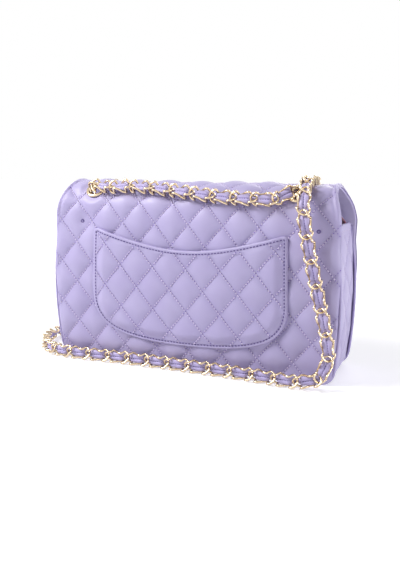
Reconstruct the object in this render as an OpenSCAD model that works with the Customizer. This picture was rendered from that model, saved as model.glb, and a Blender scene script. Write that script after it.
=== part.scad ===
// Quilted leather shoulder bag with a chain strap, seen from its back.
// The origin is the middle of the underside of the base. +Z is up, -Y is the back with the slip pocket,
// +Y is the front with the flap and the turn lock.

/* [Body] */
// Height of the mouth above the table, where the gussets end
rim_h = 157; // [145:1:175]
// How far the ridge of the flap stands above the mouth
roof_rise = 33; // [30:1:45]
// Width of the bag at the table
base_w = 294; // [280:1:310]
// Width of the bag where it swells most
belly_w = 302; // [290:1:318]
// Width of the flap at its ridge
ridge_w = 280; // [265:1:290]
// Distance from the middle of the base to the back panel at the table
base_back = 43; // [40:1:48]
// Distance from the middle of the base to the back panel at the mouth
mouth_back = 46.5; // [44:0.5:50]
// How far the back panel swells past the straight line from table to mouth
back_swell = 5; // [0:0.5:8]
// Distance from the middle of the base to the front panel
front_out = 43; // [41:1:48]
// Thickness of a quilted leather panel
leather = 4; // [3:0.5:5]
// Thickness of the plain lining
lining_t = 1; // [0.8:0.2:1.4]
// Radius of the bottom corners
corner_r = 11; // [9:1:15]
// Thickness of the board that keeps the base flat
board_t = 2; // [1:0.5:3]
// Diameter of the rolled edge along the seams
welt_d = 2.4; // [2:0.2:3]

/* [Flap] */
// How far below the mouth the front of the flap folds
fold_drop = 5; // [3:1:8]
// Length of the flap from its fold down to its lower edge
flap_l = 92; // [80:1:100]
// Thickness of the front of the flap, leather and lining together
flap_t = 4.4; // [3.8:0.2:5]
// How far the inner flap rises above the mouth at the back
inner_rise = 16; // [12:1:17]
// How far below the mouth the inner flap folds
inner_drop = 10; // [9:1:12]
// Clearance between the lock and the lower edge of the inner flap
inner_clear = 5; // [3:1:10]
// Thickness of the inner flap
inner_t = 2.4; // [2:0.2:3]
// Gap between layers that lie on each other
layer_gap = 0.4; // [0.3:0.05:0.6]

/* [Rear pocket] */
// Width of the slip pocket
pocket_w = 206; // [190:1:220]
// How far the corners of the pocket lie below the mouth of the bag
pocket_drop = 16; // [12:1:25]
// How far the mouth of the pocket dips in the middle
pocket_dip = 20; // [10:1:26]
// Height of the lowest edge of the pocket
pocket_foot = 25; // [20:1:35]
// Radius of the lower corners of the pocket
pocket_r = 48; // [40:1:55]
// Thickness of the pocket wall
pocket_t = 1.9; // [1.6:0.1:2.6]
// Depth of the slot behind the pocket wall
pocket_gap = 4.8; // [4.8:0.1:6]
// Width of the seam round the pocket
pocket_seam = 6; // [5:0.5:8]
// Thickness of the pocket at its seam
pocket_seam_t = 2.6; // [2:0.1:3]

/* [Eyelets] */
// Distance of each eyelet from the middle of the bag
eyelet_x = 108; // [104:1:112]
// Inner diameter of an eyelet
eyelet_hole = 15; // [15:0.1:15.6]
// Outer diameter of the flange
eyelet_d = 21.4; // [20.8:0.2:23]
// Wall of the barrel
eyelet_wall = 0.8; // [0.6:0.1:1]
// Thickness of the washer inside
washer_t = 0.9; // [0.7:0.1:1.2]

/* [Chain] */
// Diameter of the wire
wire_d = 2.2; // [1.8:0.1:2.4]
// Width of a link over the wire
link_w = 12.6; // [12:0.1:13]
// Length of a link over the wire
link_l = 28.9; // [28.6:0.1:29.4]
// Twist of each end of a link out of the flat
link_twist = 35; // [32:1:38]
// Width of the leather lace between the crossings
lace_w = 7.2; // [6:0.2:7.4]
// Width of the lace where it is pinched under a crossing
lace_pinch = 1.8; // [1.4:0.1:2.4]
// Thickness of the lace
lace_t = 1.2; // [1:0.1:1.4]

/* [Turn lock] */
// Height of the lock above the lower edge of the flap
lock_up = 22; // [20:1:30]
// Width of the plate on the flap
lock_w = 36; // [32:1:42]
// Height of the plate on the flap
lock_h = 26; // [24:1:30]
// Thickness of the plates
plate_t = 1.4; // [1:0.1:1.8]
// Length of the knob
knob_l = 17; // [15:0.5:18]
// Width of the knob
knob_w = 6; // [5:0.5:6.5]
// Depth of the knob
knob_h = 4.6; // [4:0.2:5.5]
// Diameter of the post that carries the knob
post_d = 5; // [4.4:0.2:5.4]
// Clearance of the slot above and below the knob
slot_play = 1.9; // [1.8:0.1:2.4]

/* [Snap] */
// Height of the snap above the lower edge of the inner flap
snap_up = 10; // [8:1:16]
// Diameter of the snap's cap
snap_d = 12; // [10:0.5:13]
// Diameter of the stud's head
stud_d = 4; // [3.6:0.1:4.4]
// Height of the stud
stud_h = 1.7; // [1.5:0.1:1.8]

/* [Hidden] */

lilac = "#C3B6E6";
lilac_dark = "#A899D2";
burgundy = "#7B3B4A";
gold = "#D9C08A";
board = "#8A8078";

// Overrun of every cut
over = 5;
// Clearance between round pieces and their holes
play = 0.1;
// Running clearance of the lock's post
run_play = 0.05;

// Shape of the side outline, as shares of the bag's height and of the swell
side_low_share = 0.26;
side_high_share = 0.62;
side_low_pull_share = 0.95;
side_high_pull_share = 1.25;
// Shape of the back panel, as shares of the mouth's height and of the swell
back_low_share = 0.3;
back_high_share = 0.7;
back_high_pull_share = 0.8;
// Place of the ridge and shape of the flap over it, as shares of the depth and of the rise above the mouth
ridge_share = 0.13;
roof_back_lean_share = 0.0125;
roof_back_rise_share = 0.45;
roof_back_reach_share = 0.74;
roof_front_reach_share = 0.33;
roof_front_drop_share = 0.63;
roof_front_lean_share = 0.92;
// Where the eyelets sit on the curve over the back and on the curve over the front
rear_eyelet_share = 0.55;
front_eyelet_share = 0.55;
curve_n = 20;

function bez(p, t) =
    pow(1 - t, 3) * p[0] + 3 * pow(1 - t, 2) * t * p[1] + 3 * (1 - t) * pow(t, 2) * p[2] + pow(t, 3) * p[3];
function slope(p, t) =
    pow(1 - t, 2) * (p[1] - p[0]) + 2 * (1 - t) * t * (p[2] - p[1]) + pow(t, 2) * (p[3] - p[2]);
function unit(v) = v / norm(v);
function bez_points(p) = [for (i = [0:curve_n]) bez(p, i / curve_n)];
// Left-hand normals of a curve, for offsetting it
function left(v) = unit([-v[1], v[0]]);
function bez_offset(p, d) = [for (i = [0:curve_n]) bez(p, i / curve_n) + d * left(slope(p, i / curve_n))];
function reversed(v) = [for (i = [len(v) - 1:-1:0]) v[i]];

// Heights above the table
bag_h = rim_h + roof_rise;
fold_h = rim_h - fold_drop;
flap_hem = fold_h - flap_l;
inner_fold = rim_h - inner_drop;
lock_z = flap_hem + lock_up;
inner_hem = lock_z + lock_h / 2 + inner_clear;
pocket_top = rim_h - pocket_drop;
snap_z = inner_hem + snap_up;

// Half width of the bag at each height
side_curve = [
    [base_w / 2, 0],
    [base_w / 2 + (belly_w - base_w) * side_low_pull_share, bag_h * side_low_share],
    [belly_w / 2 + (belly_w - base_w) * side_high_pull_share / 2, bag_h * side_high_share],
    [ridge_w / 2, bag_h]
];
side_table = [for (i = [0:curve_n]) let (p = bez(side_curve, i / curve_n)) [p[1], p[0]]];
function round_in(z, r) = z < r ? r - sqrt(max(0, pow(r, 2) - pow(r - z, 2))) : 0;
function side_x(z, inset) = lookup(z, side_table) - inset - round_in(z - inset, corner_r - inset);
side_n = 24;
corner_n = 8;
// Heights at which an outline has a point, closer together round the bottom corners
function heights(low, high, inset) = concat(
    low > corner_r ? [] : [for (i = [0:corner_n - 1]) let (rise = 1 - cos(90 * i / corner_n))
        inset + (corner_r - inset) * rise],
    let (from = max(low, corner_r)) [for (i = [0:side_n]) from + (high - from) * i / side_n]);
function outline(low, high, inset) = let (zs = heights(low, high, inset)) concat(
    [for (z = zs) [side_x(z, inset), z]],
    [for (z = reversed(zs)) [-side_x(z, inset), z]]);

// Back panel from the table to the mouth, outside, in (y, z)
back_curve = [
    [-base_back, 0],
    [-base_back - back_swell, rim_h * back_low_share],
    [-mouth_back - back_swell * back_high_pull_share, rim_h * back_high_share],
    [-mouth_back, rim_h]
];
// Layers at the front, from the panel out to the flap
inner_in = front_out + layer_gap;
inner_out = inner_in + inner_t;
flap_in = inner_out + layer_gap;
flap_out = flap_in + flap_t;
depth = mouth_back + flap_out;
ridge_y = -depth * ridge_share / 2;
front_fall = bag_h - fold_h;
// Flap over the top of the bag, outside, in (y, z)
roof_back = [
    [-mouth_back, rim_h],
    [-mouth_back + depth * roof_back_lean_share, rim_h + roof_rise * roof_back_rise_share],
    [ridge_y - (mouth_back + ridge_y) * roof_back_reach_share, bag_h],
    [ridge_y, bag_h]
];
roof_front = [
    [ridge_y, bag_h],
    [ridge_y + (flap_out - ridge_y) * roof_front_reach_share, bag_h],
    [ridge_y + (flap_out - ridge_y) * roof_front_lean_share, fold_h + front_fall * roof_front_drop_share],
    [flap_out, fold_h]
];
function roof_offset(d) = let (front = bez_offset(roof_front, -d))
    concat(bez_offset(roof_back, -d), [for (i = [1:curve_n]) front[i]]);

// A solid between two depths of the shape over the bag's whole width
module across(points) {
    translate([-belly_w, 0, 0]) rotate([90, 0, 90]) linear_extrude(2 * belly_w) polygon(points);
}

// A flat plate that faces front and back, from y0 to y1, with an outline in (x, z)
module plate(points, y0, y1) {
    translate([0, y1, 0]) rotate([90, 0, 0]) linear_extrude(y1 - y0) polygon(points);
}

module back_panel() {
    color(lilac) intersection() {
        across(concat(bez_points(back_curve), reversed(bez_offset(back_curve, -leather))));
        plate(outline(0, rim_h, 0), -mouth_back - 2 * back_swell - leather, 0);
    }
}

module front_panel() {
    color(lilac) difference() {
        plate(outline(0, inner_fold - layer_gap, 0), front_out - leather, front_out);
        translate([0, front_out + over, lock_z]) rotate([90, 0, 0])
            cylinder(d = post_d + 6 * play, h = leather + 2 * over, $fn = 32);
        translate([0, front_out - leather + keeper_deep, lock_z]) rotate([90, 0, 0])
            cylinder(d = keeper_d + 6 * play, h = keeper_deep + over, $fn = 32);
        translate([0, front_out + over, snap_z]) rotate([90, 0, 0])
            cylinder(d = stud_base_d + 2 * play, h = over + stud_base_t, $fn = 32);
    }
}

// The strip round the sides and the base, between the back and the front panel
module strip_space() {
    across(concat(
        bez_offset(back_curve, -leather),
        [[front_out - leather, rim_h], [front_out - leather, 0]]));
}

base_half = base_w / 2 - corner_r;

module strip(low_x, high_x) {
    intersection() {
        difference() {
            plate(outline(0, rim_h, 0), -depth, depth);
            plate(outline(leather, rim_h + over, leather), -depth - over, depth + over);
        }
        strip_space();
        translate([low_x, -depth, -over]) cube([high_x - low_x, 2 * depth, bag_h]);
    }
}

module right_gusset() {
    color(lilac) strip(base_half, belly_w);
}

module left_gusset() {
    color(lilac) strip(-belly_w, -base_half);
}

module base_panel() {
    color(lilac) strip(-base_half, base_half);
}

board_in = 2;
module base_board() {
    color(board) translate([-base_half, -base_back + leather + board_in, leather])
        cube([2 * base_half, base_back + front_out - 2 * leather - 2 * board_in, board_t]);
}

// Inside of the bag, drawn in by a distance from the leather
module inside(inset, floor_z) {
    intersection() {
        plate(concat([for (p = outline(corner_r, rim_h, leather + inset)) [p[0], max(p[1], floor_z)]]),
            -depth, depth);
        across(concat(
            bez_offset(back_curve, -leather - inset),
            [[front_out - leather - inset, rim_h], [front_out - leather - inset, 0]]));
    }
}

lining_gap = 0.2;
lining_top = 2;
module lining() {
    color(burgundy) difference() {
        intersection() {
            inside(lining_gap, leather + board_t);
            translate([-belly_w, -depth, leather + board_t])
                cube([2 * belly_w, 2 * depth, inner_fold - lining_top - leather - board_t]);
        }
        intersection() {
            inside(lining_gap + lining_t, leather + board_t + lining_t);
            translate([-belly_w, -depth, leather + board_t + lining_t])
                cube([2 * belly_w, 2 * depth, bag_h]);
        }
    }
}

// Frames of the four eyelets on the flap's curves
rear_p = bez(roof_back, rear_eyelet_share);
rear_n = left(slope(roof_back, rear_eyelet_share));
front_p = bez(roof_front, front_eyelet_share);
front_n = left(slope(roof_front, front_eyelet_share));
seat_dip = 1.3;
seat_r = eyelet_d / 2 + play;
washer_deep = leather + lining_t;
lip_t = 0.5;
lip_w = 0.8;

module at_eyelet(side, p, n) {
    translate([side * eyelet_x, p[0], p[1]]) rotate([atan2(-n[0], n[1]), 0, 0]) children();
}

module eyelet_cuts() {
    for (side = [-1, 1], f = [[rear_p, rear_n], [front_p, front_n]]) at_eyelet(side, f[0], f[1]) {
        translate([0, 0, -leather - over])
            cylinder(r = eyelet_hole / 2 + eyelet_wall + play, h = leather + 2 * over, $fn = 48);
        translate([0, 0, -seat_dip]) cylinder(r = seat_r, h = over, $fn = 48);
        translate([0, 0, -washer_deep - over]) cylinder(r = seat_r, h = over, $fn = 48);
    }
}

module roof_shell(from, to) {
    difference() {
        intersection() {
            across(concat(roof_offset(from), reversed(roof_offset(to))));
            plate(outline(rim_h - leather, bag_h, 0), -depth, depth);
        }
        eyelet_cuts();
    }
}

module flap_top() {
    color(lilac) roof_shell(0, leather);
}

module flap_top_lining() {
    color(lilac_dark) roof_shell(leather, leather + lining_t);
}

flap_r = 22;
flap_corner_n = 8;
function flap_outline(low, high, r) = concat(
    [for (i = [0:flap_corner_n]) let (a = 90 * i / flap_corner_n)
        [lookup(low + r, side_table) - r + r * sin(a), low + r - r * cos(a)]],
    [for (i = [1:side_n]) let (z = low + r + (high - low - r) * i / side_n) [lookup(z, side_table), z]],
    [for (i = [side_n:-1:1]) let (z = low + r + (high - low - r) * i / side_n) [-lookup(z, side_table), z]],
    [for (i = [flap_corner_n:-1:0]) let (a = 90 * i / flap_corner_n)
        [-lookup(low + r, side_table) + r - r * sin(a), low + r - r * cos(a)]]);

slot_w = knob_l + 2 * slot_play;
slot_h = knob_w + 2 * slot_play;
window_play = 0.8;
fold_gap = 0.3;

module flap_front() {
    color(lilac) difference() {
        plate(flap_outline(flap_hem, fold_h - fold_gap, flap_r), flap_in, flap_out);
        translate([-slot_w / 2 - window_play, flap_in - over, lock_z - slot_h / 2 - window_play])
            cube([slot_w + 2 * window_play, flap_t + 2 * over, slot_h + 2 * window_play]);
        disc(snap_d + 2 * cap_room, flap_in - over, inner_out + cap_t + cap_room, snap_z);
    }
}

inner_side = 3;
inner_start = 8;
inner_lean = 1;
inner_fall = 5;
touch = 0.05;
// Inner flap over the mouth, underside, in (y, z)
inner_curve = [
    [-mouth_back + leather + touch + inner_t, rim_h - inner_start],
    [-mouth_back + leather + inner_t + inner_lean, rim_h + inner_rise],
    [inner_in, inner_fold + inner_fall],
    [inner_in, inner_fold]
];
module inner_flap_top() {
    color(lilac_dark) intersection() {
        across(concat(bez_points(inner_curve), reversed(bez_offset(inner_curve, inner_t))));
        plate(outline(inner_fold - over, bag_h, leather + inner_side), -depth, depth);
    }
}

module inner_flap_front() {
    color(lilac_dark) difference() {
        plate(flap_outline_inner(), inner_in, inner_out);
        translate([0, inner_in + socket_deep, snap_z]) rotate([90, 0, 0])
            cylinder(d = snap_d - 2 + 2 * play, h = socket_deep + over, $fn = 32);
        translate([0, inner_out + over, snap_z]) rotate([90, 0, 0])
            cylinder(d = stud_d + 1, h = over + inner_t, $fn = 32);
    }
}
function flap_outline_inner() = [for (p = flap_outline(inner_hem, inner_fold - fold_gap, flap_r))
    [p[0] - sign(p[0]) * (leather + inner_side), p[1]]];

// Rolled edge along the seam between a panel and the strip round the sides
welt_n = 8;
welt_gap = 0.15;
module tube(path, r, sides) {
    n = len(path);
    points = [for (i = [0:n - 1]) let (
        t = unit(path[min(i + 1, n - 1)] - path[max(i - 1, 0)]),
        v = unit(cross(t, [0, 1, 0])))
        each [for (k = [0:sides - 1]) let (a = 360 * k / sides)
            path[i] + r * (cos(a) * v + sin(a) * [0, 1, 0])]];
    faces = concat(
        [[for (k = [sides - 1:-1:0]) k]],
        [for (i = [0:n - 2], k = [0:sides - 1]) let (a = i * sides + k, b = i * sides + (k + 1) % sides)
            each [[a, b, a + sides], [b, b + sides, a + sides]]],
        [[for (k = [0:sides - 1]) (n - 1) * sides + k]]);
    polyhedron(points, faces);
}
back_table = [for (p = bez_points(back_curve)) [p[1], p[0]]];
welt_low = corner_r;
module welt(top, inward, y_table) {
    r = welt_d / 2;
    for (side = [-1, 1]) tube([for (i = [0:side_n]) let (z = welt_low + (top - welt_low) * i / side_n)
        [side * (lookup(z, side_table) + r + welt_gap), lookup(z, y_table) + inward, z]], r, welt_n);
}

module back_welt() {
    color(lilac_dark) welt(rim_h - layer_gap, leather, back_table);
}

module front_welt() {
    color(lilac_dark) welt(inner_fold - layer_gap, -leather, [[0, front_out], [rim_h, front_out]]);
}

// Stitched ends of the flap on the back panel
tack_left_x = 119.5;
tack_right_x = 130.5;
tack_drop = 10;
tack_w = 9;
tack_h = 2.4;
tack_t = 0.8;
module back_tacks() {
    color(lilac_dark) intersection() {
        across(concat(bez_offset(back_curve, tack_t), reversed(bez_points(back_curve))));
        for (x = [-tack_left_x, tack_right_x]) translate([x - tack_w / 2, -depth, rim_h - tack_drop])
            cube([tack_w, depth, tack_h]);
    }
}

// Slip pocket on the back
pocket_belly_share = 1.02;
pocket_side_share = 0.4;
pocket_side_pull_share = 0.12;
pocket_corner_share = 0.71;
pocket_mouth_near_share = 0.58;
pocket_mouth_far_share = 0.29;
pocket_mouth_drop_share = 0.65;
function pocket_lower(inset) = [
    [pocket_w * pocket_belly_share / 2 - inset, pocket_foot + pocket_r],
    [pocket_w * pocket_belly_share / 2 - inset,
        pocket_foot + inset + (pocket_r - inset) * pocket_side_pull_share * 2],
    [pocket_w * pocket_corner_share / 2, pocket_foot + inset],
    [0, pocket_foot + inset]
];
pocket_mouth = [
    [pocket_w / 2, pocket_top],
    [pocket_w * pocket_mouth_near_share / 2, pocket_top - pocket_dip * pocket_mouth_drop_share],
    [pocket_w * pocket_mouth_far_share / 2, pocket_top - pocket_dip],
    [0, pocket_top - pocket_dip]
];
function mirrored(points) = [for (p = points) [-p[0], p[1]]];
function pocket_low(inset) = let (half = bez_points(pocket_lower(inset)))
    concat(half, reversed(mirrored(half)));
pocket_outline = let (mouth = bez_points(pocket_mouth))
    concat(pocket_low(0), mirrored(mouth), reversed(mouth));
function pocket_within(inset) = concat(pocket_low(inset),
    [[-pocket_w / 2 + inset, bag_h], [pocket_w / 2 - inset, bag_h]]);
module on_back_panel(thick) {
    across(concat(bez_offset(back_curve, thick), reversed(bez_points(back_curve))));
}
module rear_pocket() {
    color(lilac) difference() {
        intersection() {
            plate(pocket_outline, -depth, 0);
            union() {
                on_back_panel(pocket_seam_t);
                intersection() {
                    on_back_panel(pocket_gap + pocket_t);
                    plate(pocket_within(pocket_seam), -depth, 0);
                }
            }
        }
        intersection() {
            across(concat(bez_offset(back_curve, pocket_gap), reversed(bez_offset(back_curve, -leather))));
            plate(pocket_within(pocket_seam + pocket_t), -depth, 0);
        }
    }
}

// One eyelet, standing on the leather with its axis up
flange_w = (eyelet_d - eyelet_hole) / 2;
module eyelet(side, p, n) {
    color(gold) at_eyelet(side, p, n) rotate_extrude($fn = 72) {
        intersection() {
            translate([eyelet_hole / 2 + flange_w / 2, -seat_dip]) circle(d = flange_w, $fn = 48);
            translate([eyelet_hole / 2, -seat_dip]) square([flange_w, flange_w]);
        }
        translate([eyelet_hole / 2, -washer_deep - washer_t - lip_t])
            square([eyelet_wall, washer_deep + washer_t + lip_t - seat_dip]);
        translate([eyelet_hole / 2, -washer_deep - washer_t - lip_t]) square([eyelet_wall + lip_w, lip_t]);
    }
}

module rear_left_eyelet() {
    eyelet(-1, rear_p, rear_n);
}

module rear_right_eyelet() {
    eyelet(1, rear_p, rear_n);
}

module front_left_eyelet() {
    eyelet(-1, front_p, front_n);
}

module front_right_eyelet() {
    eyelet(1, front_p, front_n);
}

module eyelet_washers() {
    color(gold) for (side = [-1, 1], f = [[rear_p, rear_n], [front_p, front_n]]) at_eyelet(side, f[0], f[1])
        translate([0, 0, -washer_deep - washer_t]) difference() {
            cylinder(d = eyelet_d, h = washer_t, $fn = 72);
            translate([0, 0, -over])
                cylinder(d = eyelet_hole + 2 * eyelet_wall + play, h = washer_t + 2 * over, $fn = 72);
        }
}

// A round piece whose axis points to the front, from y0 to y1
module disc(d, y0, y1, z) {
    translate([0, y1, z]) rotate([90, 0, 0]) cylinder(d = d, h = y1 - y0, $fn = 48);
}

// A plate with rounded corners that faces the front
module card(w, h, r, y0, y1, z) {
    translate([0, y1, z]) rotate([90, 0, 0]) linear_extrude(y1 - y0) {
        square([w - 2 * r, h], center = true);
        square([w, h - 2 * r], center = true);
        for (x = [-1, 1], y = [-1, 1]) translate([x * (w / 2 - r), y * (h / 2 - r)]) circle(r = r, $fn = 48);
    }
}

// Turn lock
plate_r = 6;
base_w_less = 2;
collar_d = 9;
collar_h = 1.2;
shoulder_d = 8;
shoulder_h = 1;
knob_gap = 0.6;
keeper_d = 12;
keeper_deep = 2.2;
keeper_t = 1.1;
disc_d = 8;
disc_t = 0.9;
base_front = front_out + plate_t;
knob_back = flap_out + plate_t + knob_gap;

module lock_flap_plate() {
    color(gold) difference() {
        card(lock_w, lock_h, plate_r, flap_out, flap_out + plate_t, lock_z);
        translate([-slot_w / 2, flap_out - over, lock_z - slot_h / 2])
            cube([slot_w, plate_t + 2 * over, slot_h]);
    }
}

module lock_base_plate() {
    color(gold) difference() {
        union() {
            card(lock_w - base_w_less, lock_h - base_w_less, plate_r, front_out, base_front, lock_z);
            disc(collar_d, front_out, base_front + collar_h, lock_z);
        }
        disc(post_d + 2 * run_play, front_out - over, base_front + collar_h + over, lock_z);
    }
}

module lock_backing() {
    color(gold) difference() {
        disc(keeper_d, front_out - leather + keeper_deep - keeper_t,
            front_out - leather + keeper_deep, lock_z);
        disc(post_d + 2 * run_play, front_out - leather - over, front_out + over, lock_z);
    }
}

module lock_knob() {
    color(gold) {
        disc(post_d, front_out - leather + keeper_deep - keeper_t - play - disc_t, knob_back, lock_z);
        disc(disc_d, front_out - leather + keeper_deep - keeper_t - play - disc_t,
            front_out - leather + keeper_deep - keeper_t - play, lock_z);
        disc(shoulder_d, base_front + collar_h + play, base_front + collar_h + play + shoulder_h, lock_z);
        translate([0, knob_back + knob_h, lock_z]) rotate([90, 0, 0]) linear_extrude(knob_h) {
            square([knob_l - knob_w, knob_w], center = true);
            for (side = [-1, 1]) translate([side * (knob_l - knob_w) / 2, 0]) circle(d = knob_w, $fn = 48);
        }
    }
}

// Snap of the inner flap
cap_t = 1.2;
cap_room = 0.5;
socket_d = 10;
socket_t = 1;
socket_deep = 1.1;
stud_base_d = 9;
stud_base_t = 0.8;
module snap_cap() {
    color(gold) disc(snap_d, inner_out, inner_out + cap_t, snap_z);
}

module snap_socket() {
    color(gold) difference() {
        disc(socket_d, inner_in, inner_in + socket_t, snap_z);
        disc(stud_d + 1, inner_in - over, inner_in + over, snap_z);
    }
}

module snap_stud() {
    color(gold) {
        disc(stud_base_d, front_out - stud_base_t, front_out, snap_z);
        disc(stud_d, front_out - stud_base_t, front_out + stud_h, snap_z);
    }
}

// Chain. A link is a loop of wire whose two ends are twisted out of the flat, each by the same angle
// to its own side, so that neighbours cross at the ends and lie flat together.
end_r = (link_w - wire_d) / 2 / cos(link_twist);
end_x = (link_l - wire_d) / 2 - end_r;
link_rise = end_r * sin(link_twist);
side_angle = 2 * atan(link_rise / end_x);
side_r = end_x / sin(side_angle);
end_n = 6;
wire_n = 6;
function twist_x(p, a) = [p[0], p[1] * cos(a) - p[2] * sin(a), p[1] * sin(a) + p[2] * cos(a)];
function side_z(x) = -link_rise + side_r - sqrt(pow(side_r, 2) - pow(end_x - x, 2));
side_steps = [0.4, -0.4];
link_loop = concat(
    [for (i = [0:end_n]) let (k = -90 + 180 * i / end_n)
        [end_x, 0, 0] + twist_x([end_r * cos(k), end_r * sin(k), 0], -link_twist)],
    [for (s = side_steps) [s * end_x, end_r * cos(link_twist), sign(s) * side_z(abs(s) * end_x)]],
    [for (i = [0:end_n]) let (k = 90 + 180 * i / end_n)
        [-end_x, 0, 0] + twist_x([end_r * cos(k), end_r * sin(k), 0], link_twist)],
    [for (s = side_steps) [-s * end_x, -end_r * cos(link_twist), sign(s) * side_z(abs(s) * end_x)]]);
loop_n = len(link_loop);
link_points = [for (i = [0:loop_n - 1]) let (
    t = unit(link_loop[(i + 1) % loop_n] - link_loop[(i + loop_n - 1) % loop_n]),
    v = unit(cross(t, [0, 0, 1])), w = cross(v, t))
    each [for (k = [0:wire_n - 1]) let (a = 360 * k / wire_n)
        link_loop[i] + wire_d / 2 * (cos(a) * v + sin(a) * w)]];
link_faces = [for (i = [0:loop_n - 1], k = [0:wire_n - 1]) let (
    a = i * wire_n + k, b = i * wire_n + (k + 1) % wire_n,
    c = (i + 1) % loop_n * wire_n + k, d = (i + 1) % loop_n * wire_n + (k + 1) % wire_n)
    each [[a, b, c], [b, d, c]]];

// Frame of a link that spans two crossings, with the side it turns to the eye
function link_frame(j) = let (u = unit(j[1] - j[0]), n = unit(j[2] - u * (u * j[2])), v = cross(n, u),
    c = (j[0] + j[1]) / 2) [
    [u[0], v[0], n[0], c[0]], [u[1], v[1], n[1], c[1]], [u[2], v[2], n[2], c[2]], [0, 0, 0, 1]];
function rolled(j, a) = let (u = unit(j[1] - j[0]), n = unit(j[2] - u * (u * j[2])), v = cross(n, u))
    [j[0], j[1], n * cos(a) + v * sin(a)];

module links(list) {
    color(gold) for (j = list) multmatrix(link_frame(j)) polyhedron(link_points, link_faces);
}

// Lace woven through the links: narrow under each crossing, wide in the window of each link
lace_drop = 2.6;
lace_narrow_x = 9;
lace_wide_x = 3.5;
lace_wide_drop = 0.3;
function lace_ring(j, x, half, drop) = let (m = link_frame(j)) [for (c = [[1, 1], [-1, 1], [-1, -1], [1, -1]])
    let (q = m * [x, c[0] * half, c[1] * lace_t / 2 - drop, 1]) [q[0], q[1], q[2]]];
function lace_rings(list) = [for (j = list) each [
    lace_ring(j, -lace_narrow_x, lace_pinch / 2, lace_drop),
    lace_ring(j, -lace_wide_x, lace_w / 2, lace_wide_drop),
    lace_ring(j, lace_wide_x, lace_w / 2, lace_wide_drop),
    lace_ring(j, lace_narrow_x, lace_pinch / 2, lace_drop)]];
module lace(list) {
    all_rings = lace_rings(list);
    rings = [for (i = [1:len(all_rings) - 2]) all_rings[i]];
    n = len(rings);
    color(lilac) polyhedron([for (r = rings) each r], concat(
        [[0, 1, 2, 3]],
        [for (i = [0:n - 2], k = [0:3]) let (a = 4 * i + k, b = 4 * i + (k + 1) % 4)
            each [[a, a + 4, b], [b, a + 4, b + 4]]],
        [[4 * n - 1, 4 * n - 2, 4 * n - 3, 4 * n - 4]]));
}

// Links that stand in the eyelets: side, point, axis, roll, lean sideways, lean along the flap, depth,
// reach outside and reach inside
threads = [
    [1, rear_p, rear_n, 150, 2.4, -5, 3, 9.3, 10.8],
    [1, front_p, front_n, 106, -3.4, 1.4, 3.4, 10.7, 10.9],
    [-1, front_p, front_n, 115, -2.1, 3.6, 3.4, 10.8, 10.8],
    [-1, rear_p, rear_n, 148, 2.5, -4.1, 3.3, 9.4, 11.3]
];
half_pitch = 11.3;
function thread_axis(t) =
    unit([0, t[2][0], t[2][1]] + [tan(t[4]), 0, 0] + tan(t[5]) * [0, t[2][1], -t[2][0]]);
function thread_mid(t) = [t[0] * eyelet_x, t[1][0], t[1][1]] - t[6] * [0, t[2][0], t[2][1]];
function thread_link(t) = [
    thread_mid(t) - half_pitch * thread_axis(t),
    thread_mid(t) + half_pitch * thread_axis(t),
    cos(t[3]) * [0, t[2][1], -t[2][0]] + sin(t[3]) * [1, 0, 0]];
function outside(t) = thread_mid(t) + t[7] * thread_axis(t);
function within(t) = thread_mid(t) - t[8] * thread_axis(t);

// Run along the back between the rear eyelets: sideways place and share along the curve of the flap
run_lift = 6.0;
run_places = [
    [-86, 0.585], [-63.5, 0.6], [-41, 0.565], [-18.5, 0.53], [4.5, 0.5],
    [26.5, 0.47], [48, 0.44], [69, 0.41], [89, 0.38]
];
function on_back(x, t) = let (p = bez(roof_back, t) + run_lift * left(slope(roof_back, t))) [x, p[0], p[1]];
function back_side(t) = let (n = left(slope(roof_back, t))) [0, n[0], n[1]];
run_points = concat([outside(threads[3])], [for (p = run_places) on_back(p[0], p[1])], [outside(threads[0])]);
run_sides = concat([0.55], [for (p = run_places) p[1]], [0.55]);
run_plain = [for (i = [0:len(run_points) - 2])
    [run_points[i], run_points[i + 1], back_side(run_sides[i]) + back_side(run_sides[i + 1])]];
run_last = len(run_plain) - 1;
run_rolls = [[0, 6], [run_last - 1, -12], [run_last, -23]];
function roll_of(rolls, i) = let (hit = [for (r = rolls) if (r[0] == i) r[1]]) len(hit) > 0 ? hit[0] : 0;
run_list = [for (i = [0:run_last]) rolled(run_plain[i], roll_of(run_rolls, i))];

// Runs inside the flap between a rear and a front eyelet
function inner_pair(rear, front, roll_rear, roll_front) = let (
    a = within(rear), b = within(front), m = (a + b) / 2)
    [rolled([a, m, [0, 0, 1]], roll_rear), rolled([m, b, [0, 0, 1]], roll_front)];
inner_right = inner_pair(threads[0], threads[1], -2, -19);
inner_left = inner_pair(threads[3], threads[2], 29, -25);
thread_list = [for (t = threads) thread_link(t)];

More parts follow.
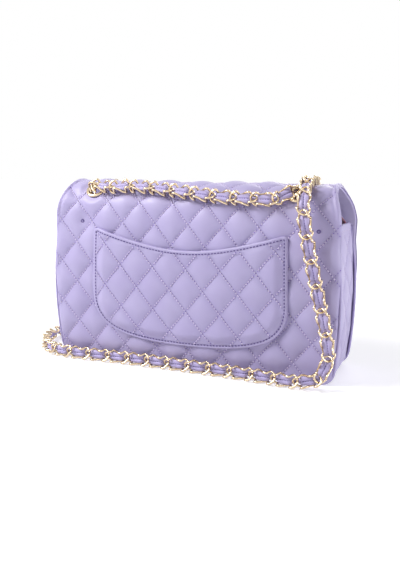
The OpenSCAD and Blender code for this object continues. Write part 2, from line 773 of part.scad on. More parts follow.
// Way of the strap from the front right eyelet to the front left one: places and the side it turns to the eye
strap_way = [
    [[107, 18, 197], [0, 0, 1]], [[108, -8, 197], [0, 0, 1]],
    [[110, -31, 196.5], [0, -0.2, 1]], [[113, -51, 188], [0, -1, 0.8]],
    [[117, -59, 173], [0, -1, 0.2]], [[120, -58, 155], [0, -1, 0]],
    [[123, -57.5, 136], [0, -1, 0]], [[130, -57, 100], [0, -1, 0]],
    [[139, -57, 65], [0, -1, 0]], [[146, -57.5, 38], [0, -1, 0]],
    [[146, -59, 19], [0, -1, 0]], [[133, -62, 8], [0, -1, 0]],
    [[112, -61, 6.8], [0, -1, 0]], [[82, -57, 6.8], [0, -1, 0]],
    [[40, -54, 6.8], [0, -1, 0]], [[0, -52.5, 6.8], [0, -1, 0]],
    [[-40, -51.5, 6.8], [0, -1, 0]], [[-80, -52, 6.8], [0, -1, 0]],
    [[-120, -54, 6.8], [-0.1, -1, 0]], [[-146, -53, 6.8], [-0.3, -1, 0]],
    [[-168, -43, 6.8], [-0.7, -1, 0]], [[-186, -22, 7.2], [-1, -0.6, 0.2]],
    [[-194, 8, 7.6], [-1, 0, 0.5]], [[-192, 38, 7.6], [-0.8, 0.2, 1]],
    [[-178, 72, 7], [-0.2, 0.1, 1]], [[-150, 98, 5], [0, 0, 1]],
    [[-112, 112, 5], [0, 0, 1]], [[-78, 113, 5], [0, 0, 1]],
    [[-54, 95, 5], [0, 0, 1]], [[-60, 70, 5], [0, 0, 1]],
    [[-88, 60, 5], [0, 0, 1]], [[-120, 58, 5], [0, 0, 1]],
    [[-149, 54, 6.5], [-0.1, 0, 1]], [[-165, 42, 17], [-1, 0, 0.9]],
    [[-164, 31, 42], [-1, 0, 0.1]], [[-160, 24.5, 84], [-1, 0, 0]],
    [[-160, 25, 120], [-1, 0, 0]], [[-158.5, 28, 148], [-1, 0, 0]],
    [[-154, 34, 170], [-1, 0.2, 0.5]], [[-142, 43, 181.5], [-0.5, 0.6, 1]],
    [[-128, 40, 182], [0, 0.7, 1]]
];
strap_links = 51;
way_n = 8;
function flat6(p) = [p[0][0], p[0][1], p[0][2], p[1][0], p[1][1], p[1][2]];
function spline(p0, p1, p2, p3, t) = (2 * p1 + (p2 - p0) * t + (2 * p0 - 5 * p1 + 4 * p2 - p3) * t * t
    + (3 * p1 - p0 - 3 * p2 + p3) * t * t * t) / 2;
way6 = [for (p = strap_way) flat6(p)];
way_last = len(way6) - 1;
way_fine = concat([for (i = [0:way_last - 1], k = [0:way_n - 1]) spline(
    i == 0 ? 2 * way6[0] - way6[1] : way6[i - 1], way6[i], way6[i + 1],
    i == way_last - 1 ? 2 * way6[way_last] - way6[way_last - 1] : way6[i + 2], k / way_n)], [way6[way_last]]);
function step_of(a, b) = norm([b[0] - a[0], b[1] - a[1], b[2] - a[2]]);
way_steps = [for (i = 0, s = 0; i < len(way_fine);
    s = s + (i + 1 < len(way_fine) ? step_of(way_fine[i], way_fine[i + 1]) : 0), i = i + 1) s];
way_length = way_steps[len(way_steps) - 1];
way_tables = [for (c = [0:5]) [for (i = [0:len(way_fine) - 1]) [way_steps[i], way_fine[i][c]]]];
way_at = [for (i = [0:strap_links]) [for (c = [0:5]) lookup(way_length * i / strap_links, way_tables[c])]];
function way_pos(i) = [way_at[i][0], way_at[i][1], way_at[i][2]];
function way_side(i) = [way_at[i][3], way_at[i][4], way_at[i][5]];
strap_plain = [for (i = [0:strap_links - 1]) [way_pos(i), way_pos(i + 1), way_side(i) + way_side(i + 1)]];
strap_first_roll = 79;
strap_last_roll = 19;
strap_first = rolled([outside(threads[1]), way_pos(0), [0, 0.9, -0.2]], strap_first_roll);
strap_last = rolled([way_pos(strap_links), outside(threads[2]), [0.1, 0.6, 0.95]], strap_last_roll);
strap_rolls = [[0, 40], [1, 15]];
strap_list = concat(
    [strap_first],
    [for (i = [0:strap_links - 1]) rolled(strap_plain[i], roll_of(strap_rolls, i))],
    [strap_last]);
top_links = 14;
floor_links = 28;
function part_of(list, from, to) = [for (i = [from:to]) list[i]];

module rear_run_links() {
    links(run_list);
}

module rear_run_lace() {
    lace(run_list);
}

module inner_links() {
    links(concat(thread_list, inner_right, inner_left));
}

module inner_laces() {
    lace(inner_right);
    lace(inner_left);
}

module strap_top_links() {
    links(part_of(strap_list, 0, top_links - 1));
}

module strap_floor_links() {
    links(part_of(strap_list, top_links, floor_links - 1));
}

module strap_front_links() {
    links(part_of(strap_list, floor_links, len(strap_list) - 1));
}

module strap_lace() {
    lace(strap_list);
}

back_panel();
rear_pocket();
front_panel();
left_gusset();
right_gusset();
base_panel();
base_board();
lining();
flap_top();
flap_top_lining();
flap_front();
inner_flap_top();
inner_flap_front();
back_welt();
front_welt();
back_tacks();
rear_left_eyelet();
rear_right_eyelet();
front_left_eyelet();
front_right_eyelet();
eyelet_washers();
lock_flap_plate();
lock_base_plate();
lock_backing();
lock_knob();
snap_cap();
snap_socket();
snap_stud();
rear_run_links();
rear_run_lace();
inner_links();
inner_laces();
strap_top_links();
strap_floor_links();
strap_front_links();
strap_lace();
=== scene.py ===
# %% [markdown]
# # Quilted leather shoulder bag with a chain strap
#
# The bag stands with its back to the camera. Its box, the fittings and the places of the chain come
# from the engineering frame; this script dresses them in leather, thread and metal. All sizes are in
# millimetres until a mesh is made, and metres from there on.

# %% Load the frame
import bpy
import math
import numpy as np
from mathutils import Matrix


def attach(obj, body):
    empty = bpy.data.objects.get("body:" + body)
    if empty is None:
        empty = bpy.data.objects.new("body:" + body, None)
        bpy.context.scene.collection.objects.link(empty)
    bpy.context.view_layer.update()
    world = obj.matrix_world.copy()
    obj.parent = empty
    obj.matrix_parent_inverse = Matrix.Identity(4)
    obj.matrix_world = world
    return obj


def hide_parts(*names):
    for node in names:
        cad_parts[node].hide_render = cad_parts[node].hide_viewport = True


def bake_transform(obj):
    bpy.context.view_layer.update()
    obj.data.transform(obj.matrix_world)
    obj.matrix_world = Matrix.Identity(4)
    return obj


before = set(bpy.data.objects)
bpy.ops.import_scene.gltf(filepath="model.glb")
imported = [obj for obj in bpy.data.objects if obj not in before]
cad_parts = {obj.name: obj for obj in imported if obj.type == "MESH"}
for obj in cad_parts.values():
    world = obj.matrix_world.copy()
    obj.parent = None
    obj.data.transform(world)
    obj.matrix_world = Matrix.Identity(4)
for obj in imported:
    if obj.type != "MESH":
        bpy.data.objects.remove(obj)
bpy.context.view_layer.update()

MM = 0.001
print("pieces in the frame:", len(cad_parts))

# %% [markdown]
# ## Camera
# The photograph was taken from a little above the bag and from its right, with the back panel facing
# the lens. The place of the lens was worked out from the corners of the bag: straight edges of known
# length fix how far away and how high it stood.

# %% Camera
turn, tilt, roll = math.radians(21.6), math.radians(10.2), math.radians(0.4)
lens_place = np.array([256.6, -657.3, 207.4])
FOCAL_PX, FRAME_PX, SENSOR = 674.0, 570.0, 36.0
away = np.array([math.sin(turn) * math.cos(tilt), -math.cos(turn) * math.cos(tilt), math.sin(tilt)])
right = np.array([math.cos(turn), math.sin(turn), 0.0])
up = np.cross(away, right)
camera_x = math.cos(roll) * right + math.sin(roll) * up
camera_y = -math.sin(roll) * right + math.cos(roll) * up
lens = bpy.data.cameras.new("photo_camera")
lens.sensor_fit, lens.sensor_width = "AUTO", SENSOR
lens.lens = FOCAL_PX / FRAME_PX * SENSOR
lens.clip_start, lens.clip_end = 0.01, 50.0
camera = bpy.data.objects.new("photo_camera", lens)
bpy.context.scene.collection.objects.link(camera)
camera.matrix_world = Matrix([
    [camera_x[0], camera_y[0], away[0], lens_place[0] * MM],
    [camera_x[1], camera_y[1], away[1], lens_place[1] * MM],
    [camera_x[2], camera_y[2], away[2], lens_place[2] * MM],
    [0, 0, 0, 1]])
bpy.context.scene.camera = camera
print("lens %.1f mm" % lens.lens)

# %% [markdown]
# ## The pattern pieces
# The same curves that cut the engineering pieces: the outline of the bag seen from behind, and the
# profile seen from the side. One long strip of leather runs up the back, over the top and down the
# front, so it is measured by its length along that profile.

# %% Curves of the bag
MOUTH, RIDGE, FOLD, HEM = 157.0, 190.0, 152.0, 60.0
BACK_OUT, FRONT_OUT, FLAP_OUT = 46.5, 43.0, 50.6
INNER_OUT, INNER_TURN, INNER_LOW = 43.4, 147.0, 100.0
LEATHER, CORNER = 4.0, 11.0
EYELET_X, EYELET_SHARE = 108.0, 0.55
LOCK_Z, SNAP_Z = 82.0, 110.0
TOP_DEPTH = BACK_OUT + FLAP_OUT
RIDGE_Y = -TOP_DEPTH * 0.13 / 2
SIDE = [(147.0, 0.0), (154.6, 49.4), (156.0, 117.8), (140.0, RIDGE)]
BACK = [(-FRONT_OUT, 0.0), (-48.0, 47.1), (-50.5, 109.9), (-BACK_OUT, MOUTH)]
INNER = [(-40.05, 149.0), (-39.1, 173.0), (INNER_OUT, FOLD), (INNER_OUT, INNER_TURN)]
ROOF_BACK = [(-BACK_OUT, MOUTH), (-BACK_OUT + TOP_DEPTH * 0.0125, MOUTH + (RIDGE - MOUTH) * 0.45),
             (RIDGE_Y - (BACK_OUT + RIDGE_Y) * 0.74, RIDGE), (RIDGE_Y, RIDGE)]
ROOF_FRONT = [(RIDGE_Y, RIDGE), (RIDGE_Y + (FLAP_OUT - RIDGE_Y) * 0.33, RIDGE),
              (RIDGE_Y + (FLAP_OUT - RIDGE_Y) * 0.92, FOLD + (RIDGE - FOLD) * 0.63), (FLAP_OUT, FOLD)]


def bezier(points, t):
    """Points on a curve with four handles."""
    a, b, c, d = [np.array(p, float) for p in points]
    t = np.atleast_1d(np.asarray(t, float))[:, None]
    return (1 - t) ** 3 * a + 3 * (1 - t) ** 2 * t * b + 3 * (1 - t) * t ** 2 * c + t ** 3 * d


def leaning(points, t):
    """Left-hand normal of the curve at t."""
    a, b, c, d = [np.array(p, float) for p in points]
    v = (1 - t) ** 2 * (b - a) + 2 * (1 - t) * t * (c - b) + t ** 2 * (d - c)
    v = v / np.linalg.norm(v)
    return np.array([-v[1], v[0]])


def measured(points):
    """The length along a line of points, at each of them."""
    return np.concatenate([[0], np.cumsum(np.linalg.norm(np.diff(points, axis=0), axis=1))])


class Profile:
    """A line in the side view, measured along its length, with its outward normal."""

    SAMPLES, SOFTENING = 1600, 20

    def __init__(self, points):
        steps = np.hypot(*np.diff(points, axis=0).T)
        points = points[np.concatenate([[True], steps > 1e-6])]
        along = measured(points)
        self.length = along[-1]
        self.even = np.linspace(0, self.length, self.SAMPLES)
        self.y, self.z = [np.interp(self.even, along, row) for row in points.T]
        # The direction is averaged over a short stretch, so that the normals turn gently at the joins.
        weights = np.hanning(2 * self.SOFTENING + 1)
        weights /= weights.sum()
        flat = np.gradient(np.array([self.y, self.z]), axis=1)
        padded = [np.pad(row, self.SOFTENING, mode="edge") for row in flat]
        flat = [np.convolve(row, weights, mode="valid") for row in padded]
        flat = np.array(flat) / np.hypot(*flat)
        self.ny, self.nz = -flat[1], flat[0]

    def at(self, s, out):
        """Side-view place of a point s along the profile and out from it."""
        pick = lambda row: np.interp(s, self.even, row)
        return pick(self.y) + out * pick(self.ny), pick(self.z) + out * pick(self.nz)

    def height(self, s):
        """Height of a point s along the profile."""
        return np.interp(s, self.even, self.z)


fine = np.linspace(0, 1, 240)
side_points = bezier(SIDE, fine)


def half_width(z, inset=0.0):
    """Half the width of the bag at a height, drawn in by an inset, round at the bottom corners."""
    z = np.asarray(z, float)
    r = CORNER - inset
    low = np.clip(r - (z - inset), 0, r)
    return np.interp(z, side_points[:, 1], side_points[:, 0]) - inset - (r - np.sqrt(r * r - low * low))


# %% The long strip and its places
half_base = float(half_width(CORNER)) - CORNER
back_points = bezier(BACK, fine)
strip = Profile(np.vstack([
    back_points, bezier(ROOF_BACK, fine), bezier(ROOF_FRONT, fine),
    np.array([[FLAP_OUT, z] for z in np.linspace(FOLD, HEM, 60)])]))


def back_y(z):
    """Depth of the back panel's face at a height."""
    return np.interp(z, back_points[:, 1], back_points[:, 0])


def along_at(z, low, high):
    """How far along the strip a height is met, between two lengths."""
    part = (strip.even >= low) & (strip.even <= high)
    s, h = strip.even[part], strip.z[part]
    order = np.argsort(h)
    return float(np.interp(z, h[order], s[order]))


s_ridge = float(strip.even[np.argmax(strip.z)])
s_mouth = along_at(MOUTH, 0, s_ridge)
s_fold = along_at(FOLD, s_ridge, strip.length)
rear_p, rear_n = bezier(ROOF_BACK, EYELET_SHARE)[0], leaning(ROOF_BACK, EYELET_SHARE)
front_p, front_n = bezier(ROOF_FRONT, EYELET_SHARE)[0], leaning(ROOF_FRONT, EYELET_SHARE)
s_rear_eyelet = along_at(rear_p[1], 0, s_ridge)
s_front_eyelet = along_at(front_p[1], s_ridge, strip.length)
print("strip %.1f mm, mouth %.1f, ridge %.1f, fold %.1f" % (strip.length, s_mouth, s_ridge, s_fold))
print("eyelets at %.1f and %.1f" % (s_rear_eyelet, s_front_eyelet))

# %% [markdown]
# ## Small helpers
# Every mesh below is a grid or a tube whose points are worked out first. Stitches are real little
# capsules of thread, each lying along its seam, because at this scale thread is round and stands
# proud of the leather.

# %% Helpers for numbers and lines


def unit(v):
    """Directions of length 1."""
    v = np.asarray(v, float)
    return v / np.maximum(np.linalg.norm(v, axis=-1, keepdims=True), 1e-9)


def ease(t):
    """A smooth step from 0 to 1."""
    t = np.clip(t, 0, 1)
    return t * t * (3 - 2 * t)


def fading(distance, inner, outer):
    """1 up to the inner distance, 0 from the outer one on, smooth between them."""
    return 1 - ease((distance - inner) / (outer - inner))


def toward(value, target, share):
    """A value moved by a share of its way to a target."""
    return value + (target - value) * share


def round_over(edge, radius):
    """How far a rounded edge has dropped, at a distance in from the edge."""
    left = radius - np.clip(edge, 0, radius)
    return radius - np.sqrt(np.maximum(radius * radius - left ** 2, 0))


def even_line(points, count):
    """Points at even distances along a line. Columns past the third are carried with the places."""
    along = measured(points[:, :3])
    at = np.linspace(0, along[-1], count)
    return np.stack([np.interp(at, along, row) for row in points.T], axis=1)


def mirrored(points):
    """Points in x and one more measure, on the other side of the bag."""
    return points * (-1, 1)


# %% Helpers for meshes


def mesh_piece(name, points, faces, finish, marks=None, which=None):
    """An object from points in millimetres. marks are numbers kept on the points for the material."""
    mesh = bpy.data.meshes.new(name)
    mesh.from_pydata((np.asarray(points, float) * MM).tolist(), [], [tuple(map(int, f)) for f in faces])
    mesh.validate()
    for one in finish if isinstance(finish, list) else [finish]:
        mesh.materials.append(one)
    if which is not None:
        mesh.polygons.foreach_set("material_index", np.asarray(which, dtype=np.int32))
    for key, values in (marks or {}).items():
        made = mesh.attributes.new(key, "FLOAT", "POINT")
        made.data.foreach_set("value", np.asarray(values, dtype=np.float32))
    mesh.polygons.foreach_set("use_smooth", np.ones(len(mesh.polygons), bool))
    mesh.update()
    piece = bpy.data.objects.new(name, mesh)
    bpy.context.scene.collection.objects.link(piece)
    return piece


def grid_faces(rows, columns, closed=False, first=0):
    """Quads of a grid whose points are listed row by row."""
    last = columns if closed else columns - 1
    i, j = np.meshgrid(np.arange(rows - 1), np.arange(last), indexing="ij")
    a = first + i * columns + j
    b = first + i * columns + (j + 1) % columns
    return np.stack([a, b, b + columns, a + columns], axis=-1).reshape(-1, 4)


def tube(path, across, upward, radius, sides=12, closed=False):
    """Points and faces of a round wire along a path with given cross directions."""
    turn = np.linspace(0, 2 * np.pi, sides, endpoint=False)
    ring = (np.cos(turn)[None, :, None] * across[:, None, :]
            + np.sin(turn)[None, :, None] * upward[:, None, :])
    radius = np.broadcast_to(np.asarray(radius, float), len(path))
    points = (path[:, None, :] + radius[:, None, None] * ring).reshape(-1, 3)
    faces = grid_faces(len(path), sides, closed=True)
    if closed:
        first = np.arange(sides)
        last = first + (len(path) - 1) * sides
        join = np.stack([last, np.roll(last, -1), np.roll(first, -1), first], axis=-1)
        faces = np.vstack([faces, join])
    return points, faces


def frames_along(path, hint):
    """Sideways and upward directions of a path, the upward ones as near as can be to the hint."""
    t = unit(np.gradient(path, axis=0))
    upward = unit(hint - t * np.sum(t * hint, axis=1, keepdims=True))
    return unit(np.cross(upward, t)), upward


class Sheet:
    """Collects the points, faces and seam counts of one piece of leather."""

    def __init__(self, points, faces, p, q):
        self.points, self.faces = [points.reshape(-1, 3)], [tuple(f) for f in faces]
        self.p, self.q = [p.reshape(-1)], [q.reshape(-1)]
        self.count = p.size

    def fold(self, edge, rings, flip, closed=False, split=0):
        """Turns an edge of the sheet over, through rings of new points.

        With split=1 the faces are cut along their other diagonal."""
        for ring in rings:
            here = self.count + np.arange(len(ring))
            pairs = range(len(ring) if closed else len(ring) - 1)
            for m in pairs:
                n = (m + 1) % len(ring)
                if np.abs(ring[m] - ring[n]).max() > 1e-4:
                    quad = (edge[m], edge[n], here[n], here[m])
                    quad = quad[::-1] if flip else quad
                    self.faces.append(quad[-split:] + quad[:-split])
            self.points.append(ring)
            self.p.append(np.full(len(ring), 0.5))
            self.q.append(np.full(len(ring), 0.5))
            edge, self.count = here, self.count + len(ring)

    def piece(self, name, finish):
        marks = {"seam_p": np.concatenate(self.p), "seam_q": np.concatenate(self.q)}
        return mesh_piece(name, np.vstack(self.points), self.faces, finish, marks=marks)


# %% Helpers for stitches
STITCH_PITCH, STITCH_LIFT = 2.36, 0.05
STITCH_L, STITCH_W, STITCH_H = 1.65, 0.62, 0.5


def capsules(centres, directions, normals, length, width, height):
    """Stitches: little rounded strokes of thread, lying along their direction."""
    centres, t = np.asarray(centres, float), unit(directions)
    n = unit(normals - t * np.sum(t * normals, axis=1, keepdims=True))
    v = np.cross(n, t)
    reach = np.array([-1, -0.8, 0, 0.8, 1]) * length / 2
    swell = np.array([0.15, 0.8, 1.0, 0.8, 0.15])
    sag = np.array([-0.6, -0.1, 0.1, -0.1, -0.6]) * height / 2
    rings, sides = len(reach), 6
    turn = np.linspace(0, 2 * np.pi, sides, endpoint=False)
    ring_v, ring_n = np.cos(turn) * width / 2, np.sin(turn) * height / 2
    points = (centres[:, None, None, :] + reach[None, :, None, None] * t[:, None, None, :]
              + (swell[None, :, None] * ring_v[None, None, :])[..., None] * v[:, None, None, :]
              + (swell[None, :, None] * ring_n[None, None, :] + sag[None, :, None])[..., None]
              * n[:, None, None, :])
    one = [tuple(f) for f in grid_faces(rings, sides, closed=True)]
    one += [tuple(range(sides - 1, -1, -1)), tuple(range((rings - 1) * sides, rings * sides))]
    faces = []
    for k in range(len(centres)):
        faces += [tuple(i + rings * sides * k for i in f) for f in one]
    return points.reshape(-1, 3), faces


class Thread:
    """Collects the stitches of one piece."""

    def __init__(self):
        self.points, self.faces, self.count = [], [], 0

    def add(self, centres, directions, normals, length, width, height):
        """Stitches at given places."""
        if len(centres) == 0:
            return
        points, faces = capsules(centres, directions, normals, length, width, height)
        start = sum(len(p) for p in self.points)
        self.points.append(points)
        self.faces += [tuple(i + start for i in f) for f in faces]
        self.count += len(centres)

    def row(self, path, normals, pitch=STITCH_PITCH, length=STITCH_L, width=STITCH_W, height=STITCH_H,
            lift=STITCH_LIFT):
        """Stitches at an even pitch along a path."""
        path, normals = np.asarray(path, float), np.asarray(normals, float)
        along = measured(path)
        count = max(1, int(along[-1] / pitch))
        at = (np.arange(count) + 0.5) * along[-1] / count
        pick = lambda rows, where: np.stack([np.interp(where, along, row) for row in rows.T], axis=1)
        n = unit(pick(normals, at))
        t = pick(path, np.minimum(at + 0.5, along[-1])) - pick(path, np.maximum(at - 0.5, 0))
        self.add(pick(path, at) + lift * n, t, n, length, width, height)

    def piece(self, name, finish):
        print(name, "stitches:", self.count)
        return mesh_piece(name, np.vstack(self.points), self.faces, finish)


# %% [markdown]
# ## Finishes
# The leather is dyed lambskin: almost smooth, with a fine grain and a soft, broad sheen. Painted shade
# darkens the valleys of the quilting, and the needle leaves small dark holes between the
# stitches. These effects are shared by several pieces, so they are groups with named settings.

# %% Helpers for finishes


def fill(tree, node, inputs):
    """Wires or sets the inputs of a node."""
    for key, value in inputs.items():
        if isinstance(value, bpy.types.NodeSocket):
            tree.links.new(value, node.inputs[key])
        else:
            node.inputs[key].default_value = value


def place(tree, kind, inputs=None, **settings):
    """Adds one node, sets it and wires its inputs. Nodes are laid out nine to a row."""
    made = tree.nodes.new(kind)
    made.location = (180 * (len(tree.nodes) % 9) - 900, 500 - 220 * (len(tree.nodes) // 9))
    for key, value in settings.items():
        setattr(made, key, value)
    fill(tree, made, inputs or {})
    return made


def sums(tree, operation, *terms):
    """The result of one step of arithmetic."""
    return place(tree, "ShaderNodeMath", dict(enumerate(terms)), operation=operation).outputs[0]


def ranged(tree, value, low, high, to_low, to_high):
    """A value between low and high, stretched to lie between two others."""
    inputs = {"Value": value, 1: low, 2: high, 3: to_low, 4: to_high}
    return place(tree, "ShaderNodeMapRange", inputs).outputs[0]


def blended(tree, factor, a, b, blend_type="MIX"):
    """Colour a moved to colour b by a factor."""
    inputs = {0: factor, 6: a, 7: b}
    return place(tree, "ShaderNodeMix", inputs, data_type="RGBA", blend_type=blend_type).outputs[2]


def noise(tree, where, scale, detail, roughness=0.5):
    """Soft random clouds."""
    inputs = {"Vector": where, "Scale": scale, "Detail": detail, "Roughness": roughness}
    return place(tree, "ShaderNodeTexNoise", inputs).outputs[0]


def bumped(tree, height, strength, distance):
    """A bump node for a height. The distance is in metres."""
    return place(tree, "ShaderNodeBump", {"Height": height, "Strength": strength, "Distance": distance})


def seen_directly(tree):
    """1 for rays from the camera and for mirrored or refracted ones, 0 for rays that only light."""
    rays = place(tree, "ShaderNodeLightPath").outputs
    bounced = sums(tree, "MAXIMUM", rays["Is Glossy Ray"], rays["Is Transmission Ray"])
    return sums(tree, "MAXIMUM", rays["Is Camera Ray"], bounced)


def new_group(name, inputs, outputs):
    """A node group with named inputs and outputs."""
    tree = bpy.data.node_groups.new(name, "ShaderNodeTree")
    for label, kind, value in inputs:
        socket = tree.interface.new_socket(label, in_out="INPUT", socket_type=kind)
        socket.default_value = value
    for label, kind in outputs:
        tree.interface.new_socket(label, in_out="OUTPUT", socket_type=kind)
    return tree, tree.nodes.new("NodeGroupInput").outputs, tree.nodes.new("NodeGroupOutput")


def rgba(code):
    """Linear colour of an #RRGGBB code."""
    parts = [int(code[i:i + 2], 16) / 255 for i in (1, 3, 5)]
    return tuple(c / 12.92 if c <= 0.04045 else ((c + 0.055) / 1.055) ** 2.4 for c in parts) + (1.0,)


def new_material(name):
    """An empty material with its shader."""
    material = bpy.data.materials.new(name)
    material.use_nodes = True
    tree = material.node_tree
    tree.nodes.clear()
    out = tree.nodes.new("ShaderNodeOutputMaterial")
    shader = tree.nodes.new("ShaderNodeBsdfPrincipled")
    shader.location, out.location = (700, 300), (1000, 300)
    tree.links.new(shader.outputs[0], out.inputs[0])
    return material, tree, shader


# %% Group: lambskin
FLOAT, COLOR = "NodeSocketFloat", "NodeSocketColor"

skin, dye, skin_out = new_group(
    "lambskin",
    [("Dye", COLOR, (0.5, 0.5, 0.5, 1)), ("Deep dye", COLOR, (0.4, 0.4, 0.4, 1)),
     ("Pore size mm", FLOAT, 0.55), ("Roughness", FLOAT, 0.45)],
    [("Color", COLOR), ("Roughness", FLOAT), ("Height", FLOAT)])
skin_place = place(skin, "ShaderNodeTexCoord").outputs["Object"]
pore_scale = sums(skin, "DIVIDE", 1 / MM, dye["Pore size mm"])
pores = place(skin, "ShaderNodeTexVoronoi", {"Vector": skin_place, "Scale": pore_scale},
              feature="SMOOTH_F1").outputs["Distance"]
creases = noise(skin, skin_place, 420.0, 4.0, 0.6)
clouds = noise(skin, skin_place, 38.0, 3.0)
skin_colour = blended(skin, ranged(skin, clouds, 0.35, 0.65, 0.0, 0.32), dye["Dye"], dye["Deep dye"])
skin_colour = blended(skin, ranged(skin, pores, 0.2, 0.75, 0.0, 0.07), skin_colour, dye["Deep dye"])
rough_swing = ranged(skin, creases, 0.3, 0.7, -0.05, 0.06)
fill(skin, skin_out, {
    "Color": skin_colour, "Roughness": sums(skin, "ADD", dye["Roughness"], rough_swing),
    "Height": sums(skin, "MULTIPLY_ADD", pores, -0.5, creases)})
print("group:", skin.name)

# %% Group: quilting seams
DIAMOND_W, DIAMOND_H, STITCHES = 36.3, 43.1, 9
diamond_side = math.hypot(DIAMOND_W, DIAMOND_H) / 2
seam_gap = DIAMOND_W * DIAMOND_H / diamond_side / 2

quilting, seam, quilting_out = new_group(
    "quilting seams",
    [("Stitches per diamond side", FLOAT, STITCHES), ("Valley width mm", FLOAT, 1.7),
     ("Hole size mm", FLOAT, 0.55)],
    [("Valley", FLOAT), ("Holes", FLOAT), ("Pucker", FLOAT)])
seam_p = place(quilting, "ShaderNodeAttribute", attribute_name="seam_p").outputs["Fac"]
seam_q = place(quilting, "ShaderNodeAttribute", attribute_name="seam_q").outputs["Fac"]


def seam_marks(run, across):
    """Valley (the mask for the painted shade in the seams), holes and puckers of one family of seams."""
    math_node = lambda operation, *terms: sums(quilting, operation, *terms)
    off = math_node("ABSOLUTE", math_node("SUBTRACT", run, math_node("ROUND", run)))
    off = math_node("MULTIPLY", off, seam_gap)
    depth = math_node("DIVIDE", off, seam["Valley width mm"])
    valley = math_node("EXPONENT", math_node("MULTIPLY", -1.0, depth))
    phase = math_node("MULTIPLY", across, seam["Stitches per diamond side"])
    from_hole = math_node("SUBTRACT", phase, math_node("ROUND", phase))
    from_hole = math_node("MULTIPLY", from_hole, diamond_side / STITCHES)
    squares = math_node("ADD", math_node("MULTIPLY", off, off),
                        math_node("MULTIPLY", from_hole, from_hole))
    hole = math_node("LESS_THAN", math_node("SQRT", squares), seam["Hole size mm"])
    wave = math_node("COSINE", math_node("MULTIPLY", phase, 2 * math.pi))
    return valley, hole, math_node("MULTIPLY", wave, valley)


both_families = zip(("Valley", "Holes", "Pucker"), ("MAXIMUM", "MAXIMUM", "ADD"),
                    seam_marks(seam_p, seam_q), seam_marks(seam_q, seam_p))
fill(quilting, quilting_out, {
    name: sums(quilting, operation, of_p, of_q) for name, operation, of_p, of_q in both_families})
print("group:", quilting.name)

# %% Group: gilding
gilding, plate, gilding_out = new_group(
    "gilding",
    [("Plating", COLOR, (0.8, 0.7, 0.5, 1)), ("Worn plating", COLOR, (0.7, 0.6, 0.4, 1)),
     ("Polish", FLOAT, 0.2)],
    [("Color", COLOR), ("Roughness", FLOAT), ("Height", FLOAT)])
metal_place = place(gilding, "ShaderNodeTexCoord").outputs["Object"]
rubbing = noise(gilding, metal_place, 900.0, 5.0)
wear = ranged(gilding, noise(gilding, metal_place, 160.0, 2.0), 0.4, 0.7, 0.0, 0.6)
polish = ranged(gilding, rubbing, 0.35, 0.7, -0.03, 0.1)
fill(gilding, gilding_out, {
    "Color": blended(gilding, wear, plate["Plating"], plate["Worn plating"]),
    "Roughness": sums(gilding, "ADD", plate["Polish"], polish), "Height": rubbing})
print("group:", gilding.name)

# %% Materials: leather
# The third colour is a painted shade for the seam valleys.
LILAC, LILAC_DEEP, VALLEY_PAINTED_SHADE = rgba("#B9B0D6"), rgba("#A89CCB"), rgba("#7769AA")
NEEDLE_HOLE = rgba("#8470B8")


def leather_finish(name, dye, deep, quilted=False, roughness=0.46, grain=0.12, pore=0.55):
    """Dyed lambskin, with seams where it is quilted, and painted shade in the seam valleys."""
    material, tree, shader = new_material(name)
    surface = place(tree, "ShaderNodeGroup", {"Dye": dye, "Deep dye": deep, "Pore size mm": pore,
                                              "Roughness": roughness}, node_tree=skin).outputs
    colour, fine_bump = surface["Color"], bumped(tree, surface["Height"], grain, 0.0004)
    if quilted:
        seams = place(tree, "ShaderNodeGroup", node_tree=quilting).outputs
        # Painted shade: the seam valleys are tinted towards a deeper lilac, as if shade fell in them.
        colour = blended(tree, sums(tree, "MULTIPLY", seams["Valley"], 0.22), colour, VALLEY_PAINTED_SHADE)
        colour = blended(tree, seams["Holes"], colour, NEEDLE_HOLE)
        puckers = bumped(tree, seams["Pucker"], 0.5, 0.00035)
        fill(tree, fine_bump, {"Normal": puckers.outputs[0]})
    fill(tree, shader, {
        "Base Color": colour, "Roughness": surface["Roughness"], "Normal": fine_bump.outputs[0],
        "Specular IOR Level": 0.42, "Sheen Weight": 0.08, "Sheen Roughness": 0.4})
    return material


quilted_leather = leather_finish("quilted_leather", LILAC, LILAC_DEEP, quilted=True)
plain_leather = leather_finish("plain_leather", LILAC, LILAC_DEEP)
edge_leather = leather_finish("edge_leather", rgba("#B7ADD5"), rgba("#A296C8"), roughness=0.5)
lace_leather = leather_finish("lace_leather", rgba("#BEB3DE"), rgba("#A599CF"), grain=0.2, pore=0.4)
# The flap lining's lilac is painted paler than the bag's, as painted light on an underside in shade.
flap_lining_leather_painted_light = leather_finish("flap_lining_leather_painted_light", rgba("#D2CAEA"), rgba("#BEB4DE"),
                                     roughness=0.5)
print("leathers:", len(bpy.data.materials))


# %% Materials: metal, thread and cloth
def metal_finish(name, plating, worn):
    """Gold plating over cast and bent metal, a little rubbed."""
    material, tree, shader = new_material(name)
    surface = place(tree, "ShaderNodeGroup", {"Plating": plating, "Worn plating": worn, "Polish": 0.2},
                    node_tree=gilding).outputs
    fill(tree, shader, {
        "Base Color": surface["Color"], "Roughness": surface["Roughness"], "Metallic": 1.0,
        "Normal": bumped(tree, surface["Height"], 0.06, 0.0002).outputs[0]})
    return material


def thread_finish(name, light, dark):
    """Twisted thread: bands of light and dark along each stitch."""
    material, tree, shader = new_material(name)
    where = place(tree, "ShaderNodeTexCoord").outputs["Object"]
    wave = {"Vector": where, "Scale": 900.0, "Distortion": 1.5}
    plies = place(tree, "ShaderNodeTexWave", wave).outputs[1]
    fill(tree, shader, {
        "Base Color": blended(tree, plies, light, dark), "Roughness": 0.55,
        "Normal": bumped(tree, plies, 0.3, 0.0001).outputs[0]})
    return material


